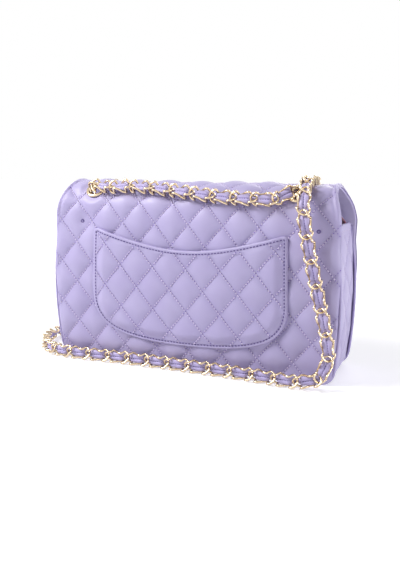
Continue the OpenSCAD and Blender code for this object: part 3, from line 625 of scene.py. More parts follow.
def cloth_finish(name, light, dark):
    """Woven cloth or pressed fibre: two crossing sets of bands, faded in large patches."""
    material, tree, shader = new_material(name)
    where = place(tree, "ShaderNodeTexCoord").outputs["Object"]
    bands = [place(tree, "ShaderNodeTexWave", {"Vector": where, "Scale": 700.0, "Distortion": 0.6},
                   bands_direction=axis).outputs[1] for axis in ("X", "Z")]
    weave = sums(tree, "MULTIPLY", *bands)
    fade = noise(tree, where, 30.0, 3.0)
    fill(tree, shader, {
        "Base Color": blended(tree, fade, blended(tree, weave, dark, light), light), "Roughness": 0.7,
        "Sheen Weight": 0.3, "Normal": bumped(tree, weave, 0.35, 0.0003).outputs[0]})
    return material


chain_gold = metal_finish("chain_gold", rgba("#DCC8AA"), rgba("#BDA27E"))
fitting_gold = metal_finish("fitting_gold", rgba("#DDCAAB"), rgba("#BFA37E"))
pale_thread = thread_finish("pale_thread", rgba("#DDD2EC"), rgba("#CBBFDF"))
plum_thread = thread_finish("plum_thread", rgba("#6C5C98"), rgba("#574881"))
lining_cloth = cloth_finish("lining_cloth", rgba("#A2566C"), rgba("#7E3A50"))
board_fibre = cloth_finish("board_fibre", rgba("#8F867B"), rgba("#6E665D"))
print("materials:", len(bpy.data.materials))

# %% [markdown]
# ## The chain
# A curb-like chain of seventy-one links. Each link is one piece of round wire bent into a loop whose
# two ends are twisted out of the flat, so that neighbours cross and lie down together. One closed
# chain runs through all four eyelets: a short run along the back, two runs under the flap, and the
# long shoulder strap. The strap comes out of the front right eyelet, crosses the top, hangs down the
# back, lies along the floor and goes up the left side to the front left eyelet.

# %% Chain: one link
WIRE, LINK_W, LINK_L, TWIST = 2.2, 12.6, 28.9, math.radians(35)
end_r = (LINK_W - WIRE) / 2 / math.cos(TWIST)
end_x = (LINK_L - WIRE) / 2 - end_r
link_rise = end_r * math.sin(TWIST)
side_turn = 2 * math.atan(link_rise / end_x)
side_r = end_x / math.sin(side_turn)


def link_line():
    """Centre line of the wire of one link, a closed loop."""
    points = []
    bend = np.radians(np.linspace(-90, 90, 19))
    straight = np.linspace(0.86, -0.86, 9)
    for side in (1, -1):
        for k in bend:
            c, s = end_r * math.cos(k), end_r * math.sin(k)
            points.append((side * (end_x + c), side * s * math.cos(TWIST), -s * math.sin(TWIST)))
        for k in straight:
            drop = -link_rise + side_r - math.sqrt(side_r ** 2 - (end_x - abs(k) * end_x) ** 2)
            drop = math.copysign(drop, k) if k else 0.0
            points.append((side * k * end_x, side * end_r * math.cos(TWIST), drop))
    return np.array(points)


def squared(a, b, n):
    """Direction from a to b, and the part of n that is square to it."""
    u = unit(b - a)
    return u, unit(n - u * np.dot(u, n))


def link_frame(link):
    """Directions along, across and out of a link, and its middle."""
    a, b, n = link
    u, n = squared(a, b, n)
    return np.column_stack([u, np.cross(n, u), n]), (a + b) / 2


def rolled(a, b, n, degrees):
    """A link from a to b that faces n, rolled about its own line."""
    a, b, n = [np.asarray(v, float) for v in (a, b, n)]
    u, n = squared(a, b, n)
    k = math.radians(degrees)
    return a, b, n * math.cos(k) + np.cross(n, u) * math.sin(k)


print("link %.1f x %.1f mm, its ends rise %.1f mm" % (LINK_L, LINK_W, link_rise))

# %% Chain: links that stand through the eyelets
class Standing:
    """A link through an eyelet: how it leans, how deep it sits and how far the chain reaches from it."""

    HALF = 11.3

    def __init__(self, side, point, normal, roll, lean, depth, outside, within):
        tilt_x, tilt_s = np.tan(np.radians(lean))
        axis = np.array([tilt_x, normal[0], normal[1]]) + tilt_s * np.array([0, normal[1], -normal[0]])
        self.axis = unit(axis)
        self.middle = np.array([side * EYELET_X, *(point - depth * normal)])
        self.outside = self.middle + outside * self.axis
        self.within = self.middle - within * self.axis
        k = math.radians(roll)
        facing = math.cos(k) * np.array([0, normal[1], -normal[0]]) + math.sin(k) * np.array([1.0, 0, 0])
        self.link = (self.middle - self.HALF * self.axis, self.middle + self.HALF * self.axis, facing)


through_rear_right = Standing(1, rear_p, rear_n, 150, (2.4, -5), 3, 9.3, 10.8)
through_front_right = Standing(1, front_p, front_n, 106, (-3.4, 1.4), 3.4, 10.7, 10.9)
through_front_left = Standing(-1, front_p, front_n, 115, (-2.1, 3.6), 3.4, 10.8, 10.8)
through_rear_left = Standing(-1, rear_p, rear_n, 148, (2.5, -4.1), 3.3, 9.4, 11.3)
standing = [each.link for each in (through_rear_right, through_front_right, through_front_left,
                                   through_rear_left)]


def inner_pair(rear, front, roll_rear, roll_front):
    """Two links under the flap, from a rear eyelet to the front one."""
    a, b = rear.within, front.within
    m = (a + b) / 2
    return [rolled(a, m, (0, 0, 1), roll_rear), rolled(m, b, (0, 0, 1), roll_front)]


inner_right = inner_pair(through_rear_right, through_front_right, -2, -19)
inner_left = inner_pair(through_rear_left, through_front_left, 29, -25)
print("links inside:", len(inner_right + inner_left + standing))

# %% Chain: run along the back
# Sideways place, and share of the roof's curve, of each joint between two links
RUN = [(-86, 0.5), (-63.5, 0.53), (-41, 0.51), (-18.5, 0.466), (4.5, 0.42), (26.5, 0.374), (48, 0.348),
       (69, 0.338), (89, 0.334)]
RUN_LIFT = 6.0


def run_point(x, share):
    """A joint of the run, lifted off the leather."""
    y, z = bezier(ROOF_BACK, share)[0] + RUN_LIFT * leaning(ROOF_BACK, share)
    return np.array([x, y, z])


def run_facing(share):
    return np.array([0, *leaning(ROOF_BACK, share)])


run_points = [through_rear_left.outside] + [run_point(x, share) for x, share in RUN]
run_points += [through_rear_right.outside]
run_shares = [EYELET_SHARE] + [share for _, share in RUN] + [EYELET_SHARE]
run_rolls = {0: 6, len(RUN) - 1: -12, len(RUN): -23}
run_sides = [run_facing(share) for share in run_shares]
rear_run = [rolled(run_points[i], run_points[i + 1], run_sides[i] + run_sides[i + 1], run_rolls.get(i, 0))
            for i in range(len(RUN) + 1)]
print("links in the run:", len(rear_run))

# %% Chain: strap
# Places the strap passes, and the side it turns to the eye there
WAY = [
    (111, 18, 191.7, 0, 0, 1), (113, -8, 192.7, 0, 0, 1), (115, -31, 191, 0, -0.2, 1),
    (117, -50, 184, 0, -1, 0.8), (118, -58.5, 172, 0, -1, 0.2), (120, -58, 155, 0, -1, 0),
    (124, -57.5, 136, 0, -1, 0), (132, -57, 100, 0, -1, 0), (141, -57, 65, 0, -1, 0),
    (146.5, -57.5, 38, 0, -1, 0), (146, -59, 19, 0, -1, 0), (133, -62, 8, 0, -1, 0),
    (112, -61, 6.8, 0, -1, 0), (82, -57, 6.8, 0, -1, 0), (40, -54, 6.8, 0, -1, 0),
    (0, -52.5, 6.8, 0, -1, 0), (-40, -51.5, 6.8, 0, -1, 0), (-80, -52, 6.8, 0, -1, 0),
    (-120, -54, 6.8, -0.1, -1, 0), (-146, -53, 6.8, -0.3, -1, 0), (-168, -43, 6.8, -0.7, -1, 0),
    (-186, -22, 7.2, -1, -0.6, 0.2), (-194, 8, 7.6, -1, 0, 0.5), (-192, 38, 7.6, -0.8, 0.2, 1),
    (-178, 72, 7, -0.2, 0.1, 1), (-150, 98, 5, 0, 0, 1), (-112, 112, 5, 0, 0, 1),
    (-78, 113, 5, 0, 0, 1), (-54, 95, 5, 0, 0, 1), (-60, 70, 5, 0, 0, 1), (-88, 60, 5, 0, 0, 1),
    (-120, 58, 5, 0, 0, 1), (-149, 54, 6.5, -0.1, 0, 1), (-165, 42, 17, -1, 0, 0.9),
    (-164, 31, 42, -1, 0, 0.1), (-160, 24.5, 84, -1, 0, 0), (-160, 25, 120, -1, 0, 0),
    (-158.5, 28, 148, -1, 0, 0), (-154, 34, 170, -1, 0.2, 0.5), (-142, 43, 181.5, -0.5, 0.6, 1),
    (-128, 40, 182, 0, 0.7, 1)]
STRAP_LINKS = 51


def smooth_way(points, steps):
    """A curve through the points, with the same number of steps between neighbours."""
    p = np.array(points, float)
    p = np.vstack([2 * p[0] - p[1], p, 2 * p[-1] - p[-2]])
    t = (np.arange(steps) / steps)[:, None]
    rows = []
    for before, here, after, beyond in zip(p[:-3], p[1:-2], p[2:-1], p[3:]):
        bend = 2 * before - 5 * here + 4 * after - beyond
        turn = 3 * here - before - 3 * after + beyond
        rows.append((2 * here + (after - before) * t + bend * t * t + turn * t ** 3) / 2)
    return np.vstack(rows + [p[-2]])


joints = even_line(smooth_way(WAY, 8), STRAP_LINKS + 1)
way_rolls = {0: 4, 1: 2}
strap = [rolled(through_front_right.outside, joints[0, :3], (0, 0.9, -0.2), 79)]
strap += [rolled(a[:3], b[:3], a[3:] + b[3:], way_rolls.get(i, 0))
          for i, (a, b) in enumerate(zip(joints[:-1], joints[1:]))]
strap += [rolled(joints[-1, :3], through_front_left.outside, (0.1, 0.6, 0.95), 19)]
print("links in the strap:", len(strap))

# %% Chain: wire
line = link_line()
line_t = unit(np.roll(line, -1, axis=0) - np.roll(line, 1, axis=0))
line_v = unit(np.cross(line_t, (0, 0, 1)))
link_points, link_faces = tube(line, line_v, np.cross(line_v, line_t), WIRE / 2, closed=True)


def chain_piece(name, links):
    """All the wire of a length of chain."""
    points, faces = [], []
    for link in links:
        axes, middle = link_frame(link)
        faces.append(link_faces + len(points) * len(link_points))
        points.append(link_points @ axes.T + middle)
    return mesh_piece(name, np.vstack(points), np.vstack(faces), chain_gold)


rear_chain = chain_piece("rear_run_chain", rear_run)
inner_chain = chain_piece("inner_chain", standing + inner_right + inner_left)
strap_chain = chain_piece("strap_chain", strap)
print("points in a link:", len(link_points))

# %% [markdown]
# ### The woven lace
# A flat strip of the bag's own leather, folded double and sewn down its middle, is woven through the
# links: it fills the window of each link with two soft halves, and is pinched narrow where the wires
# of two neighbours cross over it. It is one strip from eyelet to eyelet.

# %% Chain: lace and its stitches
LACE_T, LACE_W = 3.2, 8.5
LACE_PLACES = [-9.4, -7.6, -5.2, -2.6, 0.0, 2.6, 5.2, 7.6, 9.4]
LACE_STITCHES = [-6.0, -3.6, -1.2, 1.2, 3.6, 6.0]
# The lace's section: shares of its half width, and of its half thickness above and below
OVER = [(-1, 0), (-0.97, 0.3), (-0.86, 0.62), (-0.62, 0.95), (-0.4, 1), (-0.2, 0.86), (-0.07, 0.5),
        (0, 0.34), (0.07, 0.5), (0.2, 0.86), (0.4, 1), (0.62, 0.95), (0.86, 0.62), (0.97, 0.3)]
UNDER = [(1, 0), (0.9, -0.5), (0.5, -0.75), (0, -0.6), (-0.5, -0.75), (-0.9, -0.5)]


def lace_dip(x):
    """0 in the window of a link, 1 where the wires of two links cross over the lace."""
    return ease((abs(x) - 4.2) / 5.2)


def lace_depth(x):
    """How far the middle of the lace lies under the middle of a link."""
    return 0.35 + 2.1 * lace_dip(x)


def lace_parts(links):
    """Centres, sideways and upward directions, half widths and thickness along the lace."""
    rows = []
    for link in links:
        axes, middle = link_frame(link)
        for x in LACE_PLACES:
            half = LACE_W / 2 - 0.15 * abs(x) / 5 - 2.2 * ease((abs(x) - 5.0) / 4.6)
            rows.append(np.concatenate([middle + axes @ np.array([x, 0, -lace_depth(x)]), axes[:, 1],
                                        axes[:, 2], [half, 1.0 - 0.35 * lace_dip(x)]]))
    rows = smooth_way(rows[2:-2], 2)
    return rows[:, :3], unit(rows[:, 3:6]), unit(rows[:, 6:9]), rows[:, 9:10], rows[:, 10:]


def lace_piece(name, links, thread):
    """The lace of a length of chain, and its middle line. Its stitches go to the thread."""
    centre, side, face, half, thick = lace_parts(links)
    share, rise = np.array(OVER + UNDER).T
    points = (centre[:, None, :] + (half * share)[..., None] * side[:, None, :]
              + (thick * rise * LACE_T / 2)[..., None] * face[:, None, :])
    count, last = len(share), (len(centre) - 1) * len(share)
    faces = [tuple(f) for f in grid_faces(len(centre), count, closed=True)]
    faces += [tuple(range(count - 1, -1, -1)), tuple(range(last, last + count))]
    for link in links:
        axes, middle = link_frame(link)
        for x in LACE_STITCHES:
            spot = middle + axes @ np.array([x, 0, -lace_depth(x) + 0.34 * LACE_T / 2 + 0.08])
            thread.add([spot], [axes[:, 0]], [axes[:, 2]], length=1.7, width=0.75, height=0.6)
    return mesh_piece(name, points.reshape(-1, 3), faces, lace_leather), centre


strap_thread, run_thread = Thread(), Thread()
strap_lace, strap_line = lace_piece("strap_lace_leather", strap, strap_thread)
strap_thread = strap_thread.piece("strap_lace_stitches", plum_thread)
rear_lace, rear_line = lace_piece("rear_run_lace_leather", rear_run, run_thread)
inner_lace_r, _ = lace_piece("inner_lace_right", inner_right, run_thread)
inner_lace_l, _ = lace_piece("inner_lace_left", inner_left, run_thread)
rear_thread = run_thread.piece("rear_lace_stitches", plum_thread)


def line_length(points):
    """Length of a line in metres."""
    return float(measured(points)[-1]) * MM


print("strap lace %.3f m, rear run %.3f m" % (line_length(strap_line), line_length(rear_line)))

# %% Chain: what each piece stands for
for piece in (rear_chain, inner_chain, strap_chain, strap_lace, strap_thread, rear_lace, inner_lace_r,
              inner_lace_l, rear_thread):
    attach(piece, "body")
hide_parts("strap_top_links", "strap_floor_links", "strap_front_links")
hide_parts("strap_lace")
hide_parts("rear_run_links")
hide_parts("rear_run_lace")
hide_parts("inner_links")
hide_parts("inner_laces")
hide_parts("inner_laces")

# %% [markdown]
# ## Quilted leather
# Lambskin is laid over thin foam and sewn through on two families of slanting lines, which gives
# diamonds 36 mm wide and 43 mm high. The seams pull the surface down and the foam puffs up between
# them. The points of the mesh lie on the seams, so every valley is crisp, and the long strip keeps
# one pattern from the bottom of the back, over the top, to the lower edge of the flap.

# %% Quilting: pattern
QUILT_X = -126.1
quilt_s = along_at(126.8, 0, s_mouth)
CELLS = 14
EDGE_OUT, SEAM_OUT, PUFF_HIGH = -0.9, -2.2, 2.9


def seams_at(x, s):
    """Which seam of each family a point lies on or between."""
    a, b = (x - QUILT_X) / DIAMOND_W, (s - quilt_s) / DIAMOND_H
    return a + b, a - b


def puff(x, s):
    """0 on a seam, 1 in the middle of a diamond."""
    p, q = seams_at(x, s)
    return np.abs(np.sin(np.pi * p) * np.sin(np.pi * q)) ** 0.7


def slack(x, s):
    """Slow unevenness of stuffed leather."""
    return (0.35 * np.sin(x / 31.0 + s / 47.0 + 0.6) * np.cos(s / 36.0 - x / 83.0)
            + 0.22 * np.sin(x / 13.7 - s / 21.0 + 2.1))


def quilt_out(x, s, edge):
    """How far the quilted face stands out from the pattern piece's face."""
    soft = ease(edge / 9.0)
    padded = SEAM_OUT - EDGE_OUT + PUFF_HIGH * puff(x, s) + slack(x, s)
    return EDGE_OUT + padded * soft - round_over(edge, 4.0) * 0.75


print("diamond %.1f x %.1f mm, seams %.1f mm apart" % (DIAMOND_W, DIAMOND_H, seam_gap))

# %% Quilting: edges of the strip
FLAP_R = 22.0
flap_side = half_width(HEM + FLAP_R)


def flare(z):
    """How much wider than its pattern the soft outer leather spreads near the top."""
    return 1.6 * ease((z - 70.0) / 40.0) + 3.2 * ease((z - 128.0) / 30.0) - 2.0 * ease((z - 166.0) / 20.0)


def edge_distance(x, rise, side, centre, radius):
    """Distance in from the sides and the lower edge of a piece with two rounded corners."""
    corner = radius - np.hypot(np.maximum(np.abs(x) - centre, 0), np.maximum(radius - rise, 0))
    return np.where((rise < radius) & (np.abs(x) > centre), corner, np.minimum(side, rise))


def strip_edge_back(x, s):
    """Distance of a point on the back from the side and bottom edges."""
    z = strip.height(s)
    side = half_width(np.maximum(z, CORNER)) + flare(z) - np.abs(x)
    return edge_distance(x, s, side, half_base, CORNER)


def strip_edge_front(x, s):
    """Distance of a point on the flap from its side and lower edges."""
    z = strip.height(s)
    side = half_width(np.maximum(z, HEM + FLAP_R)) + flare(z) - np.abs(x)
    return edge_distance(x, strip.length - s, side, flap_side - FLAP_R, FLAP_R)


def width_back(s):
    """Half the width of the back and the top."""
    z = strip.height(s)
    return half_width(np.where(s < CORNER, s, z)) + flare(z)


def width_front(s):
    """Half the width of the flap, round at its lower corners."""
    z = strip.height(s)
    return half_width(np.maximum(z, HEM + FLAP_R)) + flare(z) - round_over(strip.length - s, FLAP_R)


# %% Quilting: dips round the fittings, the tacks and the strap
TACKS = [(-119.5, 147.8), (130.5, 147.1)]
STRAP_OVER_X, STRAP_OVER_Y = 112.5, -6.0
on_top = strip.z > RIDGE - 10
s_press = float(np.interp(STRAP_OVER_Y, strip.y[on_top], strip.even[on_top]))


def from_eyelets(x, s):
    """Distance from the nearest of the four eyelets, measured on the leather."""
    across = np.abs(x) - EYELET_X
    return np.minimum(np.hypot(across, s - s_rear_eyelet), np.hypot(across, s - s_front_eyelet))


def from_plate(x, z, half_w, half_h):
    """Distance from a rectangle round the middle of the lock; below 0 inside it."""
    return np.maximum(np.abs(x) - half_w, np.abs(z - LOCK_Z) - half_h)


def outer_face(x, s, front):
    """Height of the long strip's face over the pattern."""
    edge = strip_edge_front(x, s) if front else strip_edge_back(x, s)
    out = quilt_out(x, s, edge)
    out = toward(out, -1.25, fading(from_eyelets(x, s), 10.5, 19.0))
    for tack_x, tack_z in TACKS:
        near = np.hypot(x - tack_x, s - along_at(tack_z, 0, s_mouth))
        out = out - 3.4 * np.exp(-(near / 9.5) ** 1.4)
    # The strap's weight presses a groove into the padding where it crosses the top.
    pressed = fading(np.abs(x - STRAP_OVER_X), 6.0, 12.5) * fading(np.abs(s - s_press), 9.0, 20.0)
    out = toward(out, -2.7, 0.85 * pressed)
    bead = 1.5 * np.exp(-((edge - 2.3) / 1.7) ** 2) - 0.7 * np.exp(-((edge - 5.4) / 1.0) ** 2)
    out = out + bead * ease((s - s_mouth + 8) / 12)
    if front:
        out = toward(out, -0.1, fading(from_plate(x, strip.height(s), 18.0, 13.0), 0.0, 7.0))
    return out


def strip_points(x, s, out):
    """Places on the long strip, in space."""
    return np.stack(np.broadcast_arrays(x, *strip.at(s, out)), axis=-1)


# %% Quilting: mesh of a length of the strip
REACH = 157.0
EYELET_CUT = 9.2
# How far each ring of a turned edge is drawn in, and its height over the pattern
TURNED = [(0.2, -3.2), (1.4, -4.0)]


def quilt_grid(s_low, s_high):
    """Columns and rows whose crossings lie on the seams."""
    dx, ds = DIAMOND_W / 2 / CELLS, DIAMOND_H / 2 / CELLS
    cols = np.arange(math.floor((-REACH - QUILT_X) / dx), math.ceil((REACH - QUILT_X) / dx) + 1)
    rows = np.arange(math.ceil((s_low - quilt_s) / ds), math.floor((s_high - quilt_s) / ds) + 1)
    rows = np.concatenate([[s_low], quilt_s + ds * rows, [s_high]])
    return QUILT_X + dx * cols, np.unique(np.round(rows, 5))


def quilt_triangles(x, p):
    """Two triangles for each cell of the grid that has a width."""
    n_rows, n_cols = x.shape
    i, j = np.meshgrid(np.arange(n_rows - 1), np.arange(n_cols - 1), indexing="ij")
    a, b = i * n_cols + j, i * n_cols + j + 1
    c, d = b + n_cols, a + n_cols
    # A seam of the first family falls from right to left, one of the second rises.
    on_seam = np.abs(p - np.round(p)) < 1e-3
    first_way = on_seam[:-1, 1:] & on_seam[1:, :-1]
    tris = np.where(first_way[..., None], np.stack([a, b, d, b, c, d], axis=-1),
                    np.stack([a, b, c, a, c, d], axis=-1))
    wide = np.abs(x[:-1, :-1] - x[:-1, 1:]) + np.abs(x[1:, :-1] - x[1:, 1:]) > 1e-4
    return tris[wide].reshape(-1, 3)


def quilted_sheet(name, s_low, s_high, front, turned_end, cut=None):
    """The face of the long strip between two lengths, its sides and one end turned under."""
    cols, rows = quilt_grid(s_low, s_high)
    x, s = np.meshgrid(cols, rows)
    width = (width_front if front else width_back)(rows)
    x = np.clip(x, -width[:, None], width[:, None])
    p, q = seams_at(x, s)
    tris = quilt_triangles(x, p)
    middle_x, middle_s = x.reshape(-1)[tris].mean(axis=1), s.reshape(-1)[tris].mean(axis=1)
    keep = from_eyelets(middle_x, middle_s) > EYELET_CUT
    if cut is not None:
        keep &= ~cut(middle_x, middle_s)
    sheet = Sheet(strip_points(x, s, outer_face(x, s, front)), tris[keep], p, q)
    index = np.arange(x.size).reshape(x.shape)
    for side, edge in ((-1, index[:, 0]), (1, index[:, -1])):
        rings = [strip_points(side * (width - draw), rows, low) for draw, low in TURNED + [(10.5, -4.1)]]
        sheet.fold(edge, rings, flip=side < 0)
    row, inward, s_end = (0, 1, s_low) if turned_end == "low" else (-1, -1, s_high)
    rings = [strip_points(x[row] * (1 - draw / 150), s_end + inward * draw, low)
             for draw, low in TURNED + [(5.0, -4.1)]]
    sheet.fold(index[row], rings, flip=row == 0, split=1)
    return sheet.piece(name, quilted_leather)


# %% Quilting: back, top and flap
s_part = s_ridge + 14.0


def lock_window(x, s):
    """The opening in the flap for the lock's knob."""
    return from_plate(x, strip.height(s), 11.6, 6.2) < 0


back_leather = quilted_sheet("back_and_top_leather", 0.0, s_part, False, "low")
flap_leather = quilted_sheet("flap_leather", s_part, strip.length, True, "high", cut=lock_window)
print("back and top:", len(back_leather.data.polygons), "flap:", len(flap_leather.data.polygons))

# %% Quilting: stitches along the seams
SEAM_RANGE = -16, 24
STITCHED_REACH = 153.0


def quilt_stitches(thread, inside, place_of, s_low, s_high, lift=0.45):
    """Stitches along both families of seams wherever inside() allows."""
    t = (np.arange(SEAM_RANGE[0] * STITCHES, SEAM_RANGE[1] * STITCHES) + 0.5) / STITCHES
    for family in (0, 1):
        step = np.array([DIAMOND_W, DIAMOND_H if family else -DIAMOND_H]) / 40
        for k in range(*SEAM_RANGE):
            p, q = (t, np.full_like(t, k)) if family else (np.full_like(t, k), t)
            x, s = QUILT_X + DIAMOND_W * (p + q) / 2, quilt_s + DIAMOND_H * (p - q) / 2
            keep = (s > s_low) & (s < s_high) & (np.abs(x) < STITCHED_REACH)
            if family:
                # Where two seams cross, only the first family has a stitch.
                keep &= np.abs(p - np.round(p)) > 0.8 / STITCHES
            keep[keep] = inside(x[keep], s[keep])
            x, s = x[keep], s[keep]
            here = place_of(x, s, 0.0)
            ahead = place_of(x + step[0], s + step[1], 0.0)
            out = place_of(x, s, 1.0) - here
            thread.add(here + lift * out, ahead - here, out, length=2.2, width=1.3, height=1.2)


def back_place(x, s, up):
    return strip_points(x, s, outer_face(x, s, False) + up)


def flap_place(x, s, up):
    return strip_points(x, s, outer_face(x, s, True) + up)


def on_back(x, s):
    return (strip_edge_back(x, s) > 4.5) & (from_eyelets(x, s) > 12.0)


def on_flap(x, s):
    clear_of_lock = from_plate(x, strip.height(s), 19.5, 14.5) >= 0
    return (strip_edge_front(x, s) > 8.5) & (from_eyelets(x, s) > 12.0) & clear_of_lock


def rim_line(lengths, width_of, whole, corner_x, inset, turns):
    """A line just inside the side and lower edges of a flap, from one end round to the other."""
    side = [(inset - float(width_of(np.array([s]))[0]), s) for s in lengths]
    r = FLAP_R - inset
    corner = [(-corner_x - r * math.cos(k), whole - FLAP_R + r * math.sin(k))
              for k in np.radians(np.linspace(0, 90, turns))]
    half = np.array(side + corner)
    return np.vstack([half, mirrored(half[::-1])])


back_thread, flap_thread = Thread(), Thread()
quilt_stitches(back_thread, on_back, back_place, 0, s_part)
quilt_stitches(flap_thread, on_flap, flap_place, s_part, strip.length)
rim = rim_line(np.linspace(s_part, strip.length - FLAP_R, 140), width_front, strip.length,
               flap_side - FLAP_R, 5.0, 24)
rim_at = flap_place(rim[:, 0], rim[:, 1], 0.0)
flap_thread.row(rim_at, flap_place(rim[:, 0], rim[:, 1], 1.0) - rim_at, lift=0.1)
back_stitches = back_thread.piece("back_quilting_stitches", pale_thread)
flap_stitches = flap_thread.piece("flap_stitches", pale_thread)

# %% Quilting: what each piece stands for
for piece in (back_leather, back_stitches):
    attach(piece, "body")
for piece in (flap_leather, flap_stitches):
    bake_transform(piece)
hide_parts("back_panel", "flap_top")
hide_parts("flap_front")

# %% [markdown]
# ## Slip pocket
# The pocket is its own quilted piece with a folded edge all round, laid on the back and sewn down the
# sides and along the bottom; the mouth dips in a shallow curve and is left open. Its diamonds are cut
# to fall in line with those of the back.

# %% Pocket: outline
POCKET_W, POCKET_TOP, POCKET_DIP, POCKET_FOOT, POCKET_R = 206.0, 143.0, 20.0, 25.0, 48.0
POCKET_CORNER = 6.5
pocket_half, pocket_belly = POCKET_W / 2, POCKET_W / 2 * 1.02
steps = np.linspace(0, 1, 60)
foot_line = bezier([(pocket_belly, POCKET_FOOT + POCKET_R), (pocket_belly, POCKET_FOOT + POCKET_R * 0.24),
                    (pocket_half * 0.71, POCKET_FOOT), (0, POCKET_FOOT)], steps)
mouth_line = bezier([(pocket_half, POCKET_TOP), (pocket_half * 0.58, POCKET_TOP - POCKET_DIP * 0.65),
                     (pocket_half * 0.29, POCKET_TOP - POCKET_DIP), (0, POCKET_TOP - POCKET_DIP)], steps)
corner = mouth_line[0]
before, after = [corner + POCKET_CORNER * unit(way - corner) for way in (foot_line[0], mouth_line[6])]
bend = np.linspace(0, 1, 9)[:, None]
corner_arc = (1 - bend) ** 2 * before + 2 * bend * (1 - bend) * corner + bend ** 2 * after
pocket_side = even_line(np.array([foot_line[0], before]), 30)
mouth_rest = mouth_line[np.linalg.norm(mouth_line - corner, axis=1) > POCKET_CORNER + 0.1]
right_half = np.vstack([foot_line[::-1], pocket_side[1:], corner_arc[1:], mouth_rest])
print("points round the right half of the pocket:", len(right_half))

# %% Pocket: grid between its four edges
POCKET_COLUMNS, POCKET_ROWS = 150, 92
GRID_CORNER_X = 84.0
# The grid's corners lie on the round foot and halfway round the corners of the mouth.
on_foot = right_half[:, 1] < 60
split_low = int(np.argmin(np.where(on_foot, np.abs(right_half[:, 0] - GRID_CORNER_X), np.inf)))
split_high = len(foot_line) + len(pocket_side) - 2 + len(corner_arc) // 2
foot_part, mouth_part = right_half[:split_low + 1], right_half[split_high:]
low_edge = even_line(np.vstack([mirrored(foot_part[::-1]), foot_part[1:]]), POCKET_COLUMNS)
high_edge = even_line(np.vstack([mirrored(mouth_part), mouth_part[::-1][1:]]), POCKET_COLUMNS)
right_edge = even_line(right_half[split_low:split_high + 1], POCKET_ROWS)
left_edge = mirrored(right_edge)


def patch(low, high, left, right):
    """A grid of points that fills the space between four edges."""
    u = np.linspace(0, 1, len(low))[None, :, None]
    v = np.linspace(0, 1, len(left))[:, None, None]
    low_corners = (1 - u) * (1 - v) * low[0] + u * (1 - v) * low[-1]
    high_corners = (1 - u) * v * high[0] + u * v * high[-1]
    return ((1 - v) * low + v * high + (1 - u) * left[:, None] + u * right[:, None]
            - low_corners - high_corners)


pocket_flat = patch(low_edge, high_edge, left_edge, right_edge)
pocket_ring = np.vstack([low_edge, right_edge[1:], high_edge[::-1][1:], left_edge[::-1][1:-1]])
sewn_line = np.vstack([left_edge[::-1], low_edge[1:], right_edge[1:]])
print("pocket outline: %.0f mm round" % measured(pocket_ring)[-1])

# %% Pocket: how its face lies
below_mouth = strip.even <= s_mouth


def s_at(z):
    """Length along the strip at a height on the back."""
    return np.interp(z, strip.z[below_mouth], strip.even[below_mouth])


def from_outline(x, z, ring, closed=True):
    """Distance from a line of points."""
    a, b = ring, np.roll(ring, -1, axis=0)
    if not closed:
        a, b = a[:-1], b[:-1]
    ab = (b - a)[None]
    flat = np.stack([x.reshape(-1), z.reshape(-1)], axis=1)
    best = np.empty(len(flat))
    # The points are taken in batches, so that the tables stay small.
    batch = 4000
    for start in range(0, len(flat), batch):
        off = flat[start:start + batch, None, :] - a[None]
        t = np.clip(np.sum(off * ab, axis=2) / np.sum(ab * ab, axis=2), 0, 1)
        best[start:start + batch] = np.linalg.norm(off - t[..., None] * ab, axis=2).min(axis=1)
    return best.reshape(x.shape)


def pocket_out(x, z, edge):
    """Height of the pocket's face over the back's pattern."""
    s = s_at(z)
    ground = 2.3 + 2.5 * ease((from_outline(x, z, sewn_line, closed=False) - 3.0) / 11.0)
    soft = ease((edge - 3.5) / 6.0)
    puffed = -1.5 + 2.4 * puff(x, s) + 0.7 * slack(x, s)
    groove = 0.55 * np.exp(-((edge - 3.3) / 0.8) ** 2)
    return ground + puffed * soft - groove - round_over(edge, 1.5)


def rim_of(index):
    """The numbers round the rim of a grid, starting along its first row."""
    return np.concatenate([index[0], index[1:, -1], index[-1, -2::-1], index[-2:0:-1, 0]])


# %% Pocket: mesh
px, pz = pocket_flat[..., 0], pocket_flat[..., 1]
pocket_edge = from_outline(px, pz, pocket_ring)
rim = rim_of(np.arange(px.size).reshape(px.shape))
pocket_edge.reshape(-1)[rim] = 0
pocket_p, pocket_q = [np.where(pocket_edge < 4.2, 0.5, seam) for seam in seams_at(px, s_at(pz))]
pocket = Sheet(strip_points(px, s_at(pz), pocket_out(px, pz, pocket_edge)),
               grid_faces(POCKET_ROWS, POCKET_COLUMNS), pocket_p, pocket_q)
rim_xz = pocket_flat.reshape(-1, 2)[rim]
inward = unit(np.array([0.0, 80.0]) - rim_xz)
rim_out = pocket_out(rim_xz[:, 0], rim_xz[:, 1], np.zeros(len(rim_xz)))
rings = []
for draw, drop in ((0.15, 0.6), (0.9, 1.6), (5.0, 1.8)):
    ring = rim_xz + inward * draw
    rings.append(strip_points(ring[:, 0], s_at(ring[:, 1]), rim_out - drop))
pocket.fold(rim, rings, flip=True, closed=True)
pocket_leather = pocket.piece("slip_pocket_leather", quilted_leather)
print("pocket faces:", len(pocket_leather.data.polygons))


# %% Pocket: stitches
def pocket_place(x, s, up):
    z = strip.height(s)
    return strip_points(x, s, pocket_out(x, z, from_outline(x, z, pocket_ring)) + up)


def in_pocket(x, s):
    """Whether points lie inside the pocket's outline and clear of its edge."""
    z = strip.height(s)
    inside = np.zeros(len(x), bool)
    for a, b in zip(pocket_ring, np.roll(pocket_ring, -1, axis=0)):
        crossing = (b[0] - a[0]) * (z - a[1]) / (b[1] - a[1] + 1e-9) + a[0]
        inside ^= ((a[1] > z) != (b[1] > z)) & (x < crossing)
    return inside & (from_outline(x, z, pocket_ring) > 4.6)


